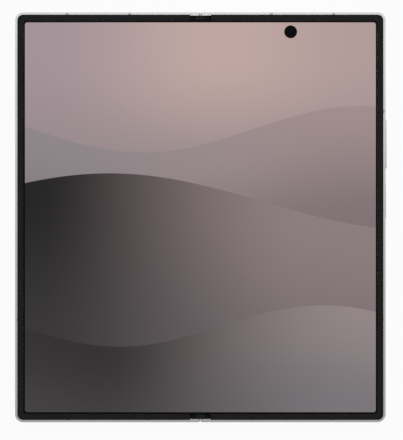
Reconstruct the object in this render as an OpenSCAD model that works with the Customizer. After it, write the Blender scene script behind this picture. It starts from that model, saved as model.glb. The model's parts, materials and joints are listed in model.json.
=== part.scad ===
// Book-style foldable phone, opened flat, screen up.
// X runs across both halves, Y along the fold line, Z up through the thickness.
// Each half is drawn outward from the fold line and mirrored for the cover half.

/* [Body] */
// Width of the opened phone across both halves
open_w = 143.2; // [138:0.1:150]
// Height of the phone along the fold line
body_h = 158.4; // [156:0.1:166]
// Thickness of one half from back plane to bezel top
half_t = 4.2; // [4.15:0.01:4.4]
// Outer corner radius seen from the front
corner_r = 3.1; // [2.6:0.1:5]
// Rounding of the frames at both ends of the fold line
notch_r = 0.8; // [0.4:0.1:1.1]
// Width of the metal rim seen round the bezel
rim_w = 0.87; // [0.7:0.01:1.1]
// Wall of the frame below the bezel
wall_w = 1.8; // [1.5:0.05:2]
// Height of the bezel top above the metal rim
bezel_rise = 0.08; // [0.02:0.01:0.15]
// Width of the plastic breaks in the metal rim
break_w = 1.2; // [0.8:0.1:1.6]
// Fit gap between bonded pieces
fit_gap = 0.03; // [0.02:0.01:0.05]

/* [Screen] */
// Width of the black bezel ring
bezel_w = 2.23; // [1.9:0.01:2.5]
// Thickness of the folding screen
screen_t = 0.65; // [0.6:0.01:0.7]
// Depth of the screen surface below the bezel top
screen_drop = 0.15; // [0.1:0.01:0.2]
// Thickness of the support plates under the screen
plate_t = 0.15; // [0.12:0.01:0.2]
// Thickness of the frame's middle wall
mid_t = 0.35; // [0.3:0.01:0.45]

/* [Hinge] */
// Distance between the two fold axes
axis_gap = 2.75; // [2.7:0.01:2.8]
// Height of the fold axes above the back plane
axis_z = 3.075; // [3.05:0.005:3.1]
// Outer radius of the spine's rounded edges
spine_r = 2.575; // [2.5:0.005:2.575]
// Wall of the spine cover
spine_wall = 0.5; // [0.4:0.01:0.5]
// Gap between the spine and the halves
spine_gap = 0.1; // [0.08:0.01:0.12]
// Gap between the two halves at the fold line
fold_gap = 0.1; // [0.08:0.01:0.15]
// Length of the end walls that close the fold, along Y
end_wall = 1.2; // [1:0.05:1.4]
// Inner radius of the arc rails on the hinge arms
rail_in = 1.6; // [1.58:0.01:1.65]
// Outer radius of the arc rails on the hinge arms
rail_out = 2; // [1.9:0.01:2]
// Running gap on each side of an arc rail
rail_gap = 0.05; // [0.03:0.01:0.06]
// Width of an arc rail along Y
arm_w = 4.8; // [4:0.1:5]
// Distance of each hinge module's middle from the end edge
module_in = 25.2; // [24:0.1:28]
// Distance from the fold line to the pivots of the screen plates
pivot_x = 1.2; // [1.15:0.01:1.25]
// Outer edge of the tilting screen plates, from the fold line
wing_edge = 9.2; // [9.1:0.01:9.3]
// Thickness of the tilting screen plates
wing_t = 0.25; // [0.2:0.01:0.25]

/* [Glass] */
// Thickness of the rear glass and the cover glass
glass_t = 0.55; // [0.5:0.01:0.55]
// Strip of metal between the fold line and the glass
glass_start = 4.6; // [4.4:0.1:5]
// Thickness of the cover display behind its glass
cover_display_t = 0.57; // [0.5:0.01:0.6]

/* [Cameras] */
// Height of the camera island above the back plane
island_h = 1.5; // [1.2:0.1:1.8]
// Height of the lens rings above the island
ring_h = 0.5; // [0.3:0.1:0.6]
// Width of the camera island
island_w = 16.8; // [16:0.1:18]
// Length of the camera island
island_l = 49; // [46:0.5:52]
// Distance of the camera island's middle from the side edge
island_side = 12.6; // [12:0.1:14]
// Distance of the camera island's middle from the top edge
island_top = 30.2; // [29:0.1:33]
// Outer diameter of a lens ring
ring_d = 13.6; // [12:0.1:14]
// Pitch of the three rear cameras
camera_pitch = 15.6; // [15:0.1:16]
// Diameter of the inner camera's hole in the screen
selfie_d = 4.85; // [4:0.05:5]
// Distance of the inner camera from the fold line
selfie_x = 34.9; // [30:0.1:36]
// Distance of the inner camera from the top edge
selfie_top = 7.5; // [7.4:0.1:8.5]

/* [Controls] */
// Length of the volume key
volume_l = 18.9; // [16:0.1:20]
// Middle of the volume key along Y
volume_y = 28.3; // [27:0.1:30]
// Height of the volume key above the side
volume_rise = 0.42; // [0.3:0.01:0.5]
// Length of the power key
power_l = 13.4; // [12:0.1:14]
// Middle of the power key along Y
power_y = 6.3; // [5:0.1:7]
// Height of the power key above the side
power_rise = 0.2; // [0.15:0.01:0.3]
// Thickness of both side keys
key_t = 1.9; // [1.6:0.1:2]
// Gap round a side key in its slot
key_gap = 0.1; // [0.08:0.01:0.15]
// Gap between a resting key's plunger and its switch
key_play = 0.25; // [0.22:0.01:0.3]
// Width of the card tray
tray_w = 10.8; // [10.6:0.1:11.2]
// Distance of the card tray's middle from the outer side
tray_in = 27.4; // [26.6:0.1:27.6]
// Depth of the card tray behind its face
tray_l = 14; // [13.4:0.1:15]

/* [Ports] */
// Width of the opening in the charging socket
port_w = 8.34; // [8.3:0.01:8.4]
// Height of the opening in the charging socket
port_h = 2.5; // [2.4:0.01:2.5]
// Depth of the charging socket
port_l = 7.2; // [6.5:0.1:8]
// Distance of the charging socket's middle from the outer side
port_in = 35.8; // [33:0.1:38]
// Length of one speaker slot
slot_l = 2.2; // [1.6:0.1:2.4]
// Width of one speaker slot
slot_w = 1; // [0.8:0.1:1.2]

/* [Power] */
// Space between the batteries and the hinge beam
battery_in = 1.6; // [1:0.1:2.5]
// Space between the cover half's battery and the outer wall
cover_battery_out = 3.8; // [3.4:0.1:6]
// Space below the cover half's battery
cover_battery_low = 21.4; // [18:0.1:24]
// Space below the main half's battery
main_battery_low = 25.4; // [25:0.1:28]
// Length of the cover half's board
cover_board_l = 22.5; // [20:0.1:23]
// Length of the main half's board above the battery
main_board_l = 44; // [43:0.1:46]
// Width of the board strip beside the main half's battery
strip_w = 6.8; // [6:0.1:8]
// Outer diameter of the wireless charging coil
coil_d = 44; // [40:0.5:45]

/* [Hidden] */
$fn = 48;
cut = 1; // how far a cutter runs past the face it opens
arc_n = 12; // steps in a quarter turn of an outline

// Overall levels, measured from the back plane of the halves
bump = island_h + ring_h;
half_w = open_w / 2;
tray_x = half_w - tray_in;
port_x = half_w - port_in;
half_h = body_h / 2;
module_y = half_h - module_in;
island_x = half_w - island_side;
island_y = half_h - island_top;
selfie_y = half_h - selfie_top;
rim_z = half_t - bezel_rise;
screen_top = half_t - screen_drop;
screen_z = screen_top - screen_t;
plate_z = screen_z - plate_t;
mid_z = plate_z - mid_t;
room_z = glass_t + 0.05;
room_top = mid_z - 0.05;

// Plan sizes of one half, measured outward from the fold line
axis_x = axis_gap / 2;
centre_u = fold_gap / 2;
cavity_r = spine_r + spine_gap;
hinge_u = axis_x + cavity_r;
rim_u = half_w - rim_w;
rim_y = half_h - rim_w;
screen_u = rim_u - bezel_w;
screen_y = rim_y - bezel_w;
room_u = half_w - wall_w;
room_y = half_h - wall_w;
seam_u = wing_edge + 0.3;
beam_u = seam_u + 0.9;
wing_floor = screen_z - wing_t - 0.55;
rim_r = corner_r - rim_w;

// Spine pieces
trough_r = spine_r - spine_wall;
trough_z = axis_z - trough_r;
spine_top = axis_z - 0.175;
spine_h = half_h - end_wall - spine_gap;
block_r = trough_r - rail_gap;
block_low = screen_z - 1.15;
block_high = block_low + 0.5;
notch_z = axis_z - 1.1;
guard_w = 4;
guard_in = screen_y + 0.05;
support_w = pivot_x - 0.2;

// Hinge arms and their slots, along Y from the middle of a module
arm_z = wing_floor - 0.5;
arm_t = 0.45;
arm_reach = seam_u - 0.3;
bracket_l = 13;
rail_from = 215;
rail_turn = 128;
cover_slot_y = 2.2;
main_slot_y = 9.4;
slot_pad = 0.2;
block_end = 15.8;
channel_from = -13.5;
channel_to = 0.5;
slider_l = 7;
post_r = 0.3;
post_y = 8.2;

// Screws
hinge_screw_r = 0.5;
hinge_head_r = 0.85;
head_t = 0.25;
board_screw_r = 0.45;
board_head_r = 0.9;
board_z = room_top - 0.65;
board_t = 0.6;

// Keys and the card tray
key_z = 2;
flange_t = 0.3;
flange_gap = 0.35;
plunger_l = 0.4;
key_back = room_u - flange_gap - flange_t;
switch_u = key_back - plunger_l - key_play;
tray_h = 1.2;
tray_z = 2;

// Rear camera bodies
barrel_r = 5;
lens_r = ring_d / 2 - 0.95;
ring_seat = 0.3;
camera_box = 11.4;
module_top = room_top;

function arc(c, r, a0, a1, n) = [for (i = [0 : n])
  [c[0] + r * cos(a0 + (a1 - a0) * i / n), c[1] + r * sin(a0 + (a1 - a0) * i / n)]];

// Plan of a half: square at the fold line, round at the outer corners
function half_plan(u0, u1, hy, r, fold_r = 0) = concat(
  fold_r > 0 ? arc([u0 + fold_r, fold_r - hy], fold_r, 180, 270, arc_n) : [[u0, -hy]],
  arc([u1 - r, r - hy], r, -90, 0, arc_n), arc([u1 - r, hy - r], r, 0, 90, arc_n),
  fold_r > 0 ? arc([u0 + fold_r, hy - fold_r], fold_r, 90, 180, arc_n) : [[u0, hy]]);

// Stadium outline, w across and h high
function pill(w, h) = let (r = min(w, h) / 2, a = w / 2 - r, b = h / 2 - r)
  concat(arc([a, -b], r, -90, 0, arc_n), arc([a, b], r, 0, 90, arc_n),
    arc([-a, b], r, 90, 180, arc_n), arc([-a, -b], r, 180, 270, arc_n));

function bend_end(z, r) = 360 - asin((axis_z - z) / r);

// Section of the spine: two quarter arcs about the fold axes, cut off at height z
function trough(r, z) = concat(arc([axis_x, axis_z], r, 270, bend_end(z, r), arc_n),
  arc([-axis_x, axis_z], r, 540 - bend_end(z, r), 270, arc_n));

// Section of the space that the spine turns in, in one half
function cavity(r, top) = concat([[-cut, axis_z - r]], arc([axis_x, axis_z], r, 270, 360, arc_n),
  [[axis_x + r, top], [-cut, top]]);

module place() { translate([0, 0, bump]) children(); }
module cover_side() { place() mirror([1, 0, 0]) children(); }
module slab(z0, z1) { translate([0, 0, z0]) linear_extrude(z1 - z0) children(); }
module along_y(y0, y1) { translate([0, y1, 0]) rotate([90, 0, 0]) linear_extrude(y1 - y0) children(); }
module along_x(x0, x1) { translate([x0, 0, 0]) rotate([90, 0, 90]) linear_extrude(x1 - x0) children(); }
module box(x0, x1, y0, y1, z0, z1) { translate([x0, y0, z0]) cube([x1 - x0, y1 - y0, z1 - z0]); }
module disc(x, y, r, z0, z1) { translate([x, y, z0]) cylinder(h = z1 - z0, r = r); }
module both_ends() {
  children();
  mirror([0, 1, 0]) children();
}

// Places along the rim where it is split by plastic breaks
top_breaks = [27.4, 51.5];
bottom_breaks = [20.2, 51];
side_break = 39.7;
main_side_break = 40.9;

module rim_breaks(extra_side) {
  for (u = top_breaks) box(u - break_w / 2, u + break_w / 2, rim_y, half_h, 0, rim_z);
  for (u = bottom_breaks) box(u - break_w / 2, u + break_w / 2, -half_h, -rim_y, 0, rim_z);
  for (y = extra_side) box(rim_u, half_w, y - break_w / 2, y + break_w / 2, 0, rim_z);
}

module bracket_pockets(slot_y) {
  both_ends() {
    y0 = module_y + slot_y + arm_w / 2 - bracket_l / 2;
    box(hinge_u - cut, arm_reach + 0.1, y0 - 0.1, y0 + bracket_l + 0.1, arm_z - 0.05, rim_z);
  }
}

// Screws that hold a bracket, two per arm
module bracket_screws(slot_y, r, z0, z1) {
  both_ends() for (dy = [-4.6, 4.6])
    disc(arm_reach - 1.9, module_y + slot_y + arm_w / 2 + dy, r, z0, z1);
}

// Frame of one half, without the cuts that only one half has
module half_frame(slot_y) {
  difference() {
    slab(0, rim_z) polygon(half_plan(centre_u, half_w, half_h, corner_r, notch_r));
    slab(screen_z, rim_z + cut) polygon(half_plan(hinge_u - cut, rim_u, rim_y, rim_r));
    slab(plate_z, rim_z) polygon(half_plan(hinge_u, screen_u, screen_y, cut));
    box(hinge_u - cut, seam_u + 0.05, -screen_y, screen_y, wing_floor, rim_z);
    slab(-cut, glass_t) polygon(half_plan(glass_start, rim_u - 0.1, rim_y - 0.1, rim_r));
    box(beam_u, room_u, -room_y, room_y, glass_t - 0.1, mid_z);
    along_y(-half_h + end_wall, half_h - end_wall) polygon(cavity(cavity_r, rim_z + cut));
    along_y(-half_h - cut, half_h + cut) polygon(concat(
      arc([axis_x, axis_z], axis_x - centre_u, 180, 100, arc_n),
      [[axis_x, rim_z + 2 * cut], [-cut, rim_z + 2 * cut], [-cut, axis_z]]));
    bracket_pockets(slot_y);
    bracket_screws(slot_y, hinge_screw_r, arm_z - 0.75, arm_z);
    flex_notch();
  }
}

flex_y = 18;
flex_w = 20;
flex_u = beam_u + 2.2;
flex_z = mid_z + 0.03;
flex_t = 0.12;

module flex_notch() {
  both_ends() box(seam_u - cut, flex_u + 0.1, flex_y - flex_w / 2 - 0.1, flex_y + flex_w / 2 + 0.1,
    mid_z - 0.05, plate_z);
}

// Slots and holes through the end walls, as pills along Y
module end_hole(x, z, w, h, y0, y1) {
  translate([x, 0, z]) along_y(y0, y1) polygon(pill(w, h));
}

slot_z = 2;
slot_pitch = 3.2;
speaker_w = 15;
main_speaker_x = room_u - 9.8;
cover_speaker_x = room_u - 8.8;
module speaker_slots(x, y0, y1) {
  for (i = [-1 : 2]) end_hole(x + (i - 0.5) * slot_pitch, slot_z, slot_l, slot_w, y0, y1);
}

mic_r = 0.4;
mic_x = 25.5;
module mic_hole(x, y0, y1) { translate([x, y1, slot_z]) rotate([90, 0, 0]) cylinder(h = y1 - y0, r = mic_r); }

// ---- Cover half ----

cover_display_u = glass_start + 0.9;
cover_camera_x = 33.5;
cover_camera_y = half_h - 8.6;
cover_camera_r = 1.9;
card_face_t = wall_w;
reader_w = tray_w + 0.8;

module cover_frame() {
  color("silver") cover_side() difference() {
    half_frame(cover_slot_y);
    rim_breaks([-side_break]);
    slab(glass_t - 0.1, glass_t + cover_display_t + 0.08)
      polygon(half_plan(cover_display_u - 0.1, room_u, room_y, rim_r));
    end_hole(tray_x, tray_z, tray_w + 2 * key_gap, tray_h + 0.7 + 2 * key_gap, room_y - cut, half_h + cut);
    speaker_slots(cover_speaker_x, room_y - cut, half_h + cut);
    mic_hole(mic_x, room_y - cut, half_h + cut);
    board_screw_sites(cover_screw_sites, board_screw_r, board_z, mid_z + mid_t - 0.1);
  }
}

module cover_antenna_breaks() { color("gainsboro") cover_side() rim_breaks([-side_break]); }

module half_bezel() {
  difference() {
    slab(screen_z, half_t) polygon(half_plan(hinge_u, rim_u, rim_y, rim_r));
    slab(screen_z - cut, half_t + cut) polygon(half_plan(hinge_u - cut, screen_u, screen_y, cut));
  }
}

module cover_bezel() { color("#232323") cover_side() half_bezel(); }

module half_glass() {
  slab(0, glass_t) polygon(half_plan(glass_start + fit_gap, rim_u - 0.1 - fit_gap,
    rim_y - 0.1 - fit_gap, rim_r));
}

module cover_glass() { color("#101214") cover_side() half_glass(); }

module cover_display() {
  color("#303236") cover_side() difference() {
    slab(glass_t, glass_t + cover_display_t)
      polygon(half_plan(cover_display_u, room_u - 0.1, room_y - 0.1, rim_r));
    disc(cover_camera_x, cover_camera_y, cover_camera_r + 0.1, 0, half_t);
  }
}

cover_inner_z = glass_t + cover_display_t + 0.08;
battery_u = beam_u + battery_in;
battery_gap = 2.5;
cover_board_y1 = room_y - 18.4;
cover_board_y0 = cover_board_y1 - cover_board_l;
board_u1 = room_u - cover_battery_out;

module cover_battery() {
  color("dimgray") cover_side() box(battery_u, board_u1, cover_battery_low - room_y,
    cover_board_y0 - battery_gap, cover_inner_z, room_top);
}

cover_screw_sites = [[battery_u + 2, cover_board_y0 + 2.2], [battery_u + 2, cover_board_y1 - 2.2],
  [board_u1 - 2, cover_board_y0 + 2.2], [board_u1 - 2, cover_board_y1 - 2.2]];

module board_screw_sites(sites, r, z0, z1) { for (p = sites) disc(p[0], p[1], r, z0, z1); }

module cover_board() {
  color("darkgreen") cover_side() difference() {
    box(battery_u, board_u1, cover_board_y0, cover_board_y1, board_z, board_z + board_t);
    board_screw_sites(cover_screw_sites, board_screw_r + 0.05, board_z - cut, board_z + board_t + cut);
  }
}

// Shielded chips under a board, each placed by shares of the board's length and width
chip_t = 0.75;
cover_chips = [[0.09, 0.39, 0.14, 0.8], [0.45, 0.65, 0.2, 0.72], [0.71, 0.87, 0.24, 0.8]];
main_chips = [[0.12, 0.52, 0.09, 0.56], [0.58, 0.92, 0.12, 0.46], [0.16, 0.48, 0.66, 0.88]];
module chips(shares, u0, u1, y0, y1) {
  for (s = shares) box(u0 + (u1 - u0) * s[0], u0 + (u1 - u0) * s[1], y0 + (y1 - y0) * s[2],
    y0 + (y1 - y0) * s[3], board_z - chip_t, board_z);
}

module cover_board_chips() {
  color("silver") cover_side() {
    chips(cover_chips, battery_u, board_u1, cover_board_y0, cover_board_y1);
  }
}

module cover_speaker() {
  color("#2a2a2a") cover_side() box(cover_speaker_x - 6, cover_speaker_x + 6, room_y - 14.5,
    room_y - 0.2, cover_inner_z, room_top);
}

module cover_selfie_camera() {
  color("#15181b") cover_side() {
    disc(cover_camera_x, cover_camera_y, cover_camera_r, glass_t, cover_inner_z + 0.2);
    box(cover_camera_x - 2.9, cover_camera_x + 2.9, cover_camera_y - 2.9, cover_camera_y + 2.9,
      cover_inner_z + 0.1, room_top);
  }
}

module half_support_plate() {
  slab(plate_z, screen_z) polygon(half_plan(seam_u + 0.1, screen_u - fit_gap, screen_y - fit_gap, cut));
}

module cover_support_plate() { color("lightslategray") cover_side() half_support_plate(); }

module half_screen() {
  slab(screen_z, screen_top) polygon(half_plan(seam_u, screen_u - 0.05, screen_y - 0.05, cut));
}

module screen_cover_side() { color("#b5a0a4") cover_side() half_screen(); }

// One hinge arm: a bracket on the half and an arc rail about the fold axis
module hinge_arm(slot_y) {
  y0 = module_y + slot_y;
  difference() {
    union() {
      translate([axis_x, y0 + arm_w, axis_z]) rotate([90, 0, 0]) rotate([0, 0, rail_from])
        rotate_extrude(angle = rail_turn) translate([rail_in, 0]) square([rail_out - rail_in, arm_w]);
      box(axis_x + rail_in - 0.02, hinge_u + 0.4, y0, y0 + arm_w, arm_z, arm_z + arm_t);
      box(hinge_u + 0.3, arm_reach, y0 + arm_w / 2 - bracket_l / 2, y0 + arm_w / 2 + bracket_l / 2,
        arm_z, arm_z + arm_t);
    }
    for (dy = [-4.6, 4.6]) translate([arm_reach - 1.9, y0 + arm_w / 2 + dy, 0]) {
      disc(0, 0, hinge_screw_r + 0.05, arm_z - cut, arm_z + arm_t + cut);
      disc(0, 0, hinge_head_r + 0.05, arm_z + arm_t - head_t, arm_z + arm_t + cut);
    }
  }
}

module cover_hinge_arms() { color("slategray") cover_side() both_ends() hinge_arm(cover_slot_y); }

module hinge_screws(slot_y) {
  bracket_screws(slot_y, hinge_screw_r - 0.02, arm_z - 0.7, arm_z + arm_t - head_t);
  bracket_screws(slot_y, hinge_head_r, arm_z + arm_t - head_t, arm_z + arm_t);
}

module cover_hinge_screws() { color("gray") cover_side() hinge_screws(cover_slot_y); }

module board_screws(sites) {
  board_screw_sites(sites, board_screw_r - 0.02, board_z, plate_z - 0.12);
  board_screw_sites(sites, board_head_r, board_z - head_t, board_z);
}

module cover_board_screws() { color("gray") cover_side() board_screws(cover_screw_sites); }

magnet_u = room_u - 3;
magnet_l = 11;
magnet_y = room_y - 20.4;
module half_magnets(z0) {
  both_ends() box(magnet_u, room_u - 0.1, magnet_y - magnet_l, magnet_y, z0, room_top);
}

module cover_magnets() { color("#5a5f66") cover_side() half_magnets(cover_inner_z); }

// Metal shell that the card tray slides into
module sim_reader() {
  top = tray_z + tray_h / 2 + 0.1;
  low = tray_z - tray_h / 2 - 0.1;
  color("lightgray") cover_side() difference() {
    box(tray_x - reader_w / 2, tray_x + reader_w / 2, room_y - tray_l - 1.4, room_y - 0.3,
      cover_inner_z, room_top);
    box(tray_x - tray_w / 2 + 0.05, tray_x + tray_w / 2 - 0.05, room_y - tray_l - 0.9, room_y, low, top);
  }
}

module sim_tray() {
  card_w = 8.9;
  card_l = 12.4;
  plate_w = tray_w - 0.4;
  color("silver") cover_side() difference() {
    union() {
      end_hole(tray_x, tray_z, tray_w, tray_h + 0.7, half_h - card_face_t, half_h);
      box(tray_x - plate_w / 2, tray_x + plate_w / 2, half_h - card_face_t - tray_l,
        half_h - card_face_t + 0.1, tray_z - tray_h / 2, tray_z + tray_h / 2);
    }
    box(tray_x - card_w / 2, tray_x + card_w / 2, room_y - card_l - 0.8, room_y - 0.8,
      tray_z - tray_h, tray_z + tray_h);
  }
}

module half_wing() {
  box(pivot_x, wing_edge, -screen_y + 0.3, screen_y - 0.3, screen_z - wing_t, screen_z);
}

module cover_wing() { color("lightsteelblue") cover_side() half_wing(); }

// ---- Main half ----

socket_wall = 0.12;
socket_w = port_w + 2 * socket_wall;
socket_h = port_h + 2 * socket_wall;
socket_z = room_z + socket_h / 2;
socket_y = -half_h + 0.3;
island_hole_w = island_w - 3.2;
selfie_r = selfie_d / 2;

module key_slot(y, l) {
  translate([0, y, key_z]) along_x(room_u - cut, half_w + cut)
    polygon(pill(l + 2 * key_gap, key_t + 2 * key_gap));
}

module main_frame() {
  color("silver") place() difference() {
    half_frame(main_slot_y);
    rim_breaks([-side_break, main_side_break]);
    key_slot(volume_y, volume_l);
    key_slot(power_y, power_l);
    end_hole(port_x, socket_z, socket_w + 0.1, socket_h + 0.1, -half_h - cut, -room_y + cut);
    box(port_x - socket_w / 2 - 0.1, port_x + socket_w / 2 + 0.1, -room_y - 0.1, socket_y + port_l + 0.2,
      mid_z - 0.1, screen_z + 0.01);
    speaker_slots(main_speaker_x, -half_h - cut, -room_y + cut);
    mic_hole(mic_x, -half_h - cut, -room_y + cut);
    disc(selfie_x, selfie_y, selfie_r + 0.3, mid_z - cut, screen_z);
    board_screw_sites(main_screw_sites, board_screw_r, board_z, mid_z + mid_t - 0.1);
  }
}

module main_antenna_breaks() {
  color("gainsboro") place() rim_breaks([-side_break, main_side_break]);
}

module main_bezel() { color("#232323") place() half_bezel(); }

flash_x = 46.5;
flash_y = 63;
flash_r = 2.6;

module rear_glass() {
  color("#c9cdd2") place() difference() {
    half_glass();
    translate([island_x, island_y, 0]) slab(-cut, glass_t + cut)
      polygon(pill(island_hole_w, island_l - 3.2));
    disc(flash_x, flash_y, flash_r + 0.05, -cut, glass_t + cut);
  }
}

module at_cameras() {
  for (i = [-1 : 1]) translate([island_x, island_y + i * camera_pitch, 0]) children();
}

module camera_island() {
  color("#b9bdc2") place() difference() {
    translate([island_x, island_y, 0]) slab(-island_h, 0) polygon(pill(island_w, island_l));
    at_cameras() disc(0, 0, barrel_r + 0.1, -island_h - cut, cut);
    at_cameras() disc(0, 0, ring_d / 2 + 0.03, -island_h - cut, -island_h + ring_seat);
  }
}

module camera_rings() {
  color("silver") place() at_cameras() difference() {
    disc(0, 0, ring_d / 2, -bump, -island_h + ring_seat);
    disc(0, 0, lens_r, -bump - cut, -island_h + 0.1);
    disc(0, 0, barrel_r + 0.1, -bump - cut, cut);
  }
}

module camera_lenses() {
  color("#0c0e12") place() at_cameras() disc(0, 0, lens_r - 0.03, -bump + 0.15, -island_h + 0.1);
}

module camera_modules() {
  color("#202327") place() at_cameras() {
    disc(0, 0, barrel_r, -island_h + 0.12, room_z + 0.3);
    box(-camera_box / 2, camera_box / 2, -camera_box / 2, camera_box / 2, room_z, module_top);
  }
}

module flash_led() { color("ivory") place() disc(flash_x, flash_y, flash_r, 0, room_z + 0.3); }

board_y1 = room_y - 11.4;
board_y0 = board_y1 - main_board_l;
neck_u = island_x - camera_box / 2 - 1;
strip_end = room_u - 3.6;
strip_u = strip_end - strip_w;
main_battery_y = main_battery_low - room_y;
main_battery_u1 = strip_u - 1.4;
main_battery_y1 = board_y0 - battery_gap - 1.5;
coil_t = 0.3;

module main_battery() {
  color("dimgray") place() box(battery_u, main_battery_u1, main_battery_y, main_battery_y1,
    room_z + coil_t + 0.05, room_top);
}

main_screw_sites = [[battery_u + 2, board_y0 + 2.2], [battery_u + 2, board_y1 - 2.2],
  [neck_u - 2, board_y1 - 2.2], [strip_u + 2, main_battery_y + 2.2]];

// Main board: a block beside the cameras with a strip down to the socket board
module main_board() {
  step_y = island_y - camera_pitch - camera_box / 2 - 0.6;
  color("darkgreen") place() difference() {
    slab(board_z, board_z + board_t) polygon([[battery_u, board_y0], [strip_u, board_y0],
      [strip_u, main_battery_y], [strip_end, main_battery_y], [strip_end, step_y],
      [neck_u, step_y], [neck_u, board_y1], [battery_u, board_y1]]);
    board_screw_sites(main_screw_sites, board_screw_r + 0.05, board_z - cut, board_z + board_t + cut);
  }
}

module main_board_chips() {
  color("silver") place() {
    chips(main_chips, battery_u, neck_u, board_y0, board_y1);
  }
}

charge_y0 = socket_y + port_l + 1;
charge_gap = 2;
motor_w = 9;
module charge_board() {
  color("darkgreen") place() box(battery_u + motor_w + charge_gap,
    main_speaker_x - speaker_w / 2 - charge_gap, charge_y0, main_battery_y - 1.2, board_z, board_z + board_t);
}

coil_z = room_z;
coil_y = (main_battery_y + main_battery_y1) / 2;
module charging_coil() {
  coil_x = (battery_u + main_battery_u1) / 2;
  color("peru") place() difference() {
    disc(coil_x, coil_y, coil_d / 2, coil_z, coil_z + coil_t);
    disc(coil_x, coil_y, coil_d / 2 - 11, coil_z - cut, coil_z + cut);
  }
}

module usb_socket() {
  tongue_w = 6.7;
  tongue_t = 0.7;
  end_t = 0.6;
  color("darkgray") place() {
    difference() {
      end_hole(port_x, socket_z, socket_w, socket_h, socket_y, socket_y + port_l);
      end_hole(port_x, socket_z, port_w, port_h, socket_y - cut, socket_y + port_l - end_t);
    }
    box(port_x - tongue_w / 2, port_x + tongue_w / 2, socket_y + 0.8, socket_y + port_l - end_t / 2,
      socket_z - tongue_t / 2, socket_z + tongue_t / 2);
  }
}

module main_speaker() {
  color("#2a2a2a") place() box(main_speaker_x - speaker_w / 2, main_speaker_x + speaker_w / 2, -room_y + 0.2,
    -room_y + 16, room_z, room_top);
}

module vibration_motor() {
  color("gray") place() box(battery_u, battery_u + motor_w, -room_y + 0.5, -room_y + 10.5, room_z, room_top);
}

volume_switch_dy = 6;
module key_switches() {
  back_t = 0.6;
  color("#3c3c40") place() {
    box(switch_u - back_t, switch_u - 0.2, power_y - 4, volume_y + 8, key_z - 0.8, key_z + 0.8);
    for (y = [power_y, volume_y - volume_switch_dy, volume_y + volume_switch_dy])
      box(switch_u - 0.25, switch_u, y - 1.2, y + 1.2, key_z - 0.7, key_z + 0.7);
    box(strip_end - 1, switch_u - back_t + 0.05, power_y - 2, volume_y + 2, board_z - 0.45, board_z);
  }
}

module inner_camera() {
  color("#15181b") place() {
    disc(selfie_x, selfie_y, selfie_r - 0.06, room_top - 0.5, screen_top - 0.12);
    box(selfie_x - 3, selfie_x + 3, selfie_y - 3, room_y - 0.3, room_z + 0.6, room_top);
  }
}

module main_support_plate() {
  color("lightslategray") place() difference() {
    half_support_plate();
    disc(selfie_x, selfie_y, selfie_r + 0.3, plate_z - cut, screen_top);
    box(port_x - socket_w / 2 - 0.1, port_x + socket_w / 2 + 0.1, -screen_y - cut,
      socket_y + port_l + 0.2, plate_z - cut, screen_top);
  }
}

module screen_main_side() {
  color("#b5a0a4") place() difference() {
    half_screen();
    disc(selfie_x, selfie_y, selfie_r, screen_z - cut, screen_top + cut);
  }
}

module main_hinge_arms() { color("slategray") place() both_ends() hinge_arm(main_slot_y); }
module main_hinge_screws() { color("gray") place() hinge_screws(main_slot_y); }
module main_board_screws() { color("gray") place() board_screws(main_screw_sites); }
module main_magnets() { color("#5a5f66") place() half_magnets(room_z); }
module main_wing() { color("lightsteelblue") place() half_wing(); }

// A side key: cap through the rim, flange behind it, plungers on the inside
module side_key(y, l, rise, plungers) {
  color("silver") place() translate([0, y, key_z]) {
    along_x(key_back + flange_t - 0.05, half_w + rise) polygon(pill(l, key_t));
    box(key_back, key_back + flange_t, -l / 2 - 0.6, l / 2 + 0.6, -key_t / 2 + 0.25, key_t / 2 - 0.25);
    for (dy = plungers) translate([key_back - plunger_l, dy, 0]) rotate([0, 90, 0])
      cylinder(h = plunger_l + 0.1, r = 0.5);
  }
}

module volume_key() {
  side_key(volume_y, volume_l, volume_rise, [-volume_switch_dy, volume_switch_dy]);
}

module power_key() { side_key(power_y, power_l, power_rise, [0]); }

// ---- Spine and fold ----

module arm_notch(side, slot_y) {
  y0 = module_y + slot_y;
  x0 = axis_x + 1.4;
  both_ends() translate([side > 0 ? x0 : -x0 - 2, y0 - 0.3, notch_z])
    cube([2, arm_w + 0.6, half_t]);
}

module spine_screw_sites(r, z0, z1) {
  both_ends() for (x = [-2.2, 2.2]) disc(x, module_y + post_y, r, z0, z1);
}

module spine_cover() {
  color("silver") place() difference() {
    along_y(-spine_h, spine_h) polygon(trough(spine_r, spine_top));
    along_y(-spine_h - cut, spine_h + cut) polygon(trough(trough_r, axis_z - 0.01));
    arm_notch(1, main_slot_y);
    arm_notch(-1, cover_slot_y);
    spine_screw_sites(spine_screw_r, spine_screw_z, half_t);
  }
}

spine_screw_r = 0.4;
spine_screw_z = axis_z - spine_r + 0.35;

module rail_slot(side, slot_y) {
  y0 = module_y + slot_y - slot_pad;
  y1 = y0 + arm_w + 2 * slot_pad;
  translate([side * axis_x, y1, axis_z]) rotate([90, 0, 0]) difference() {
    cylinder(h = y1 - y0, r = rail_out + 2 * rail_gap);
    translate([0, 0, -cut]) cylinder(h = y1 - y0 + 2 * cut, r = rail_in - rail_gap);
  }
}

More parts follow.
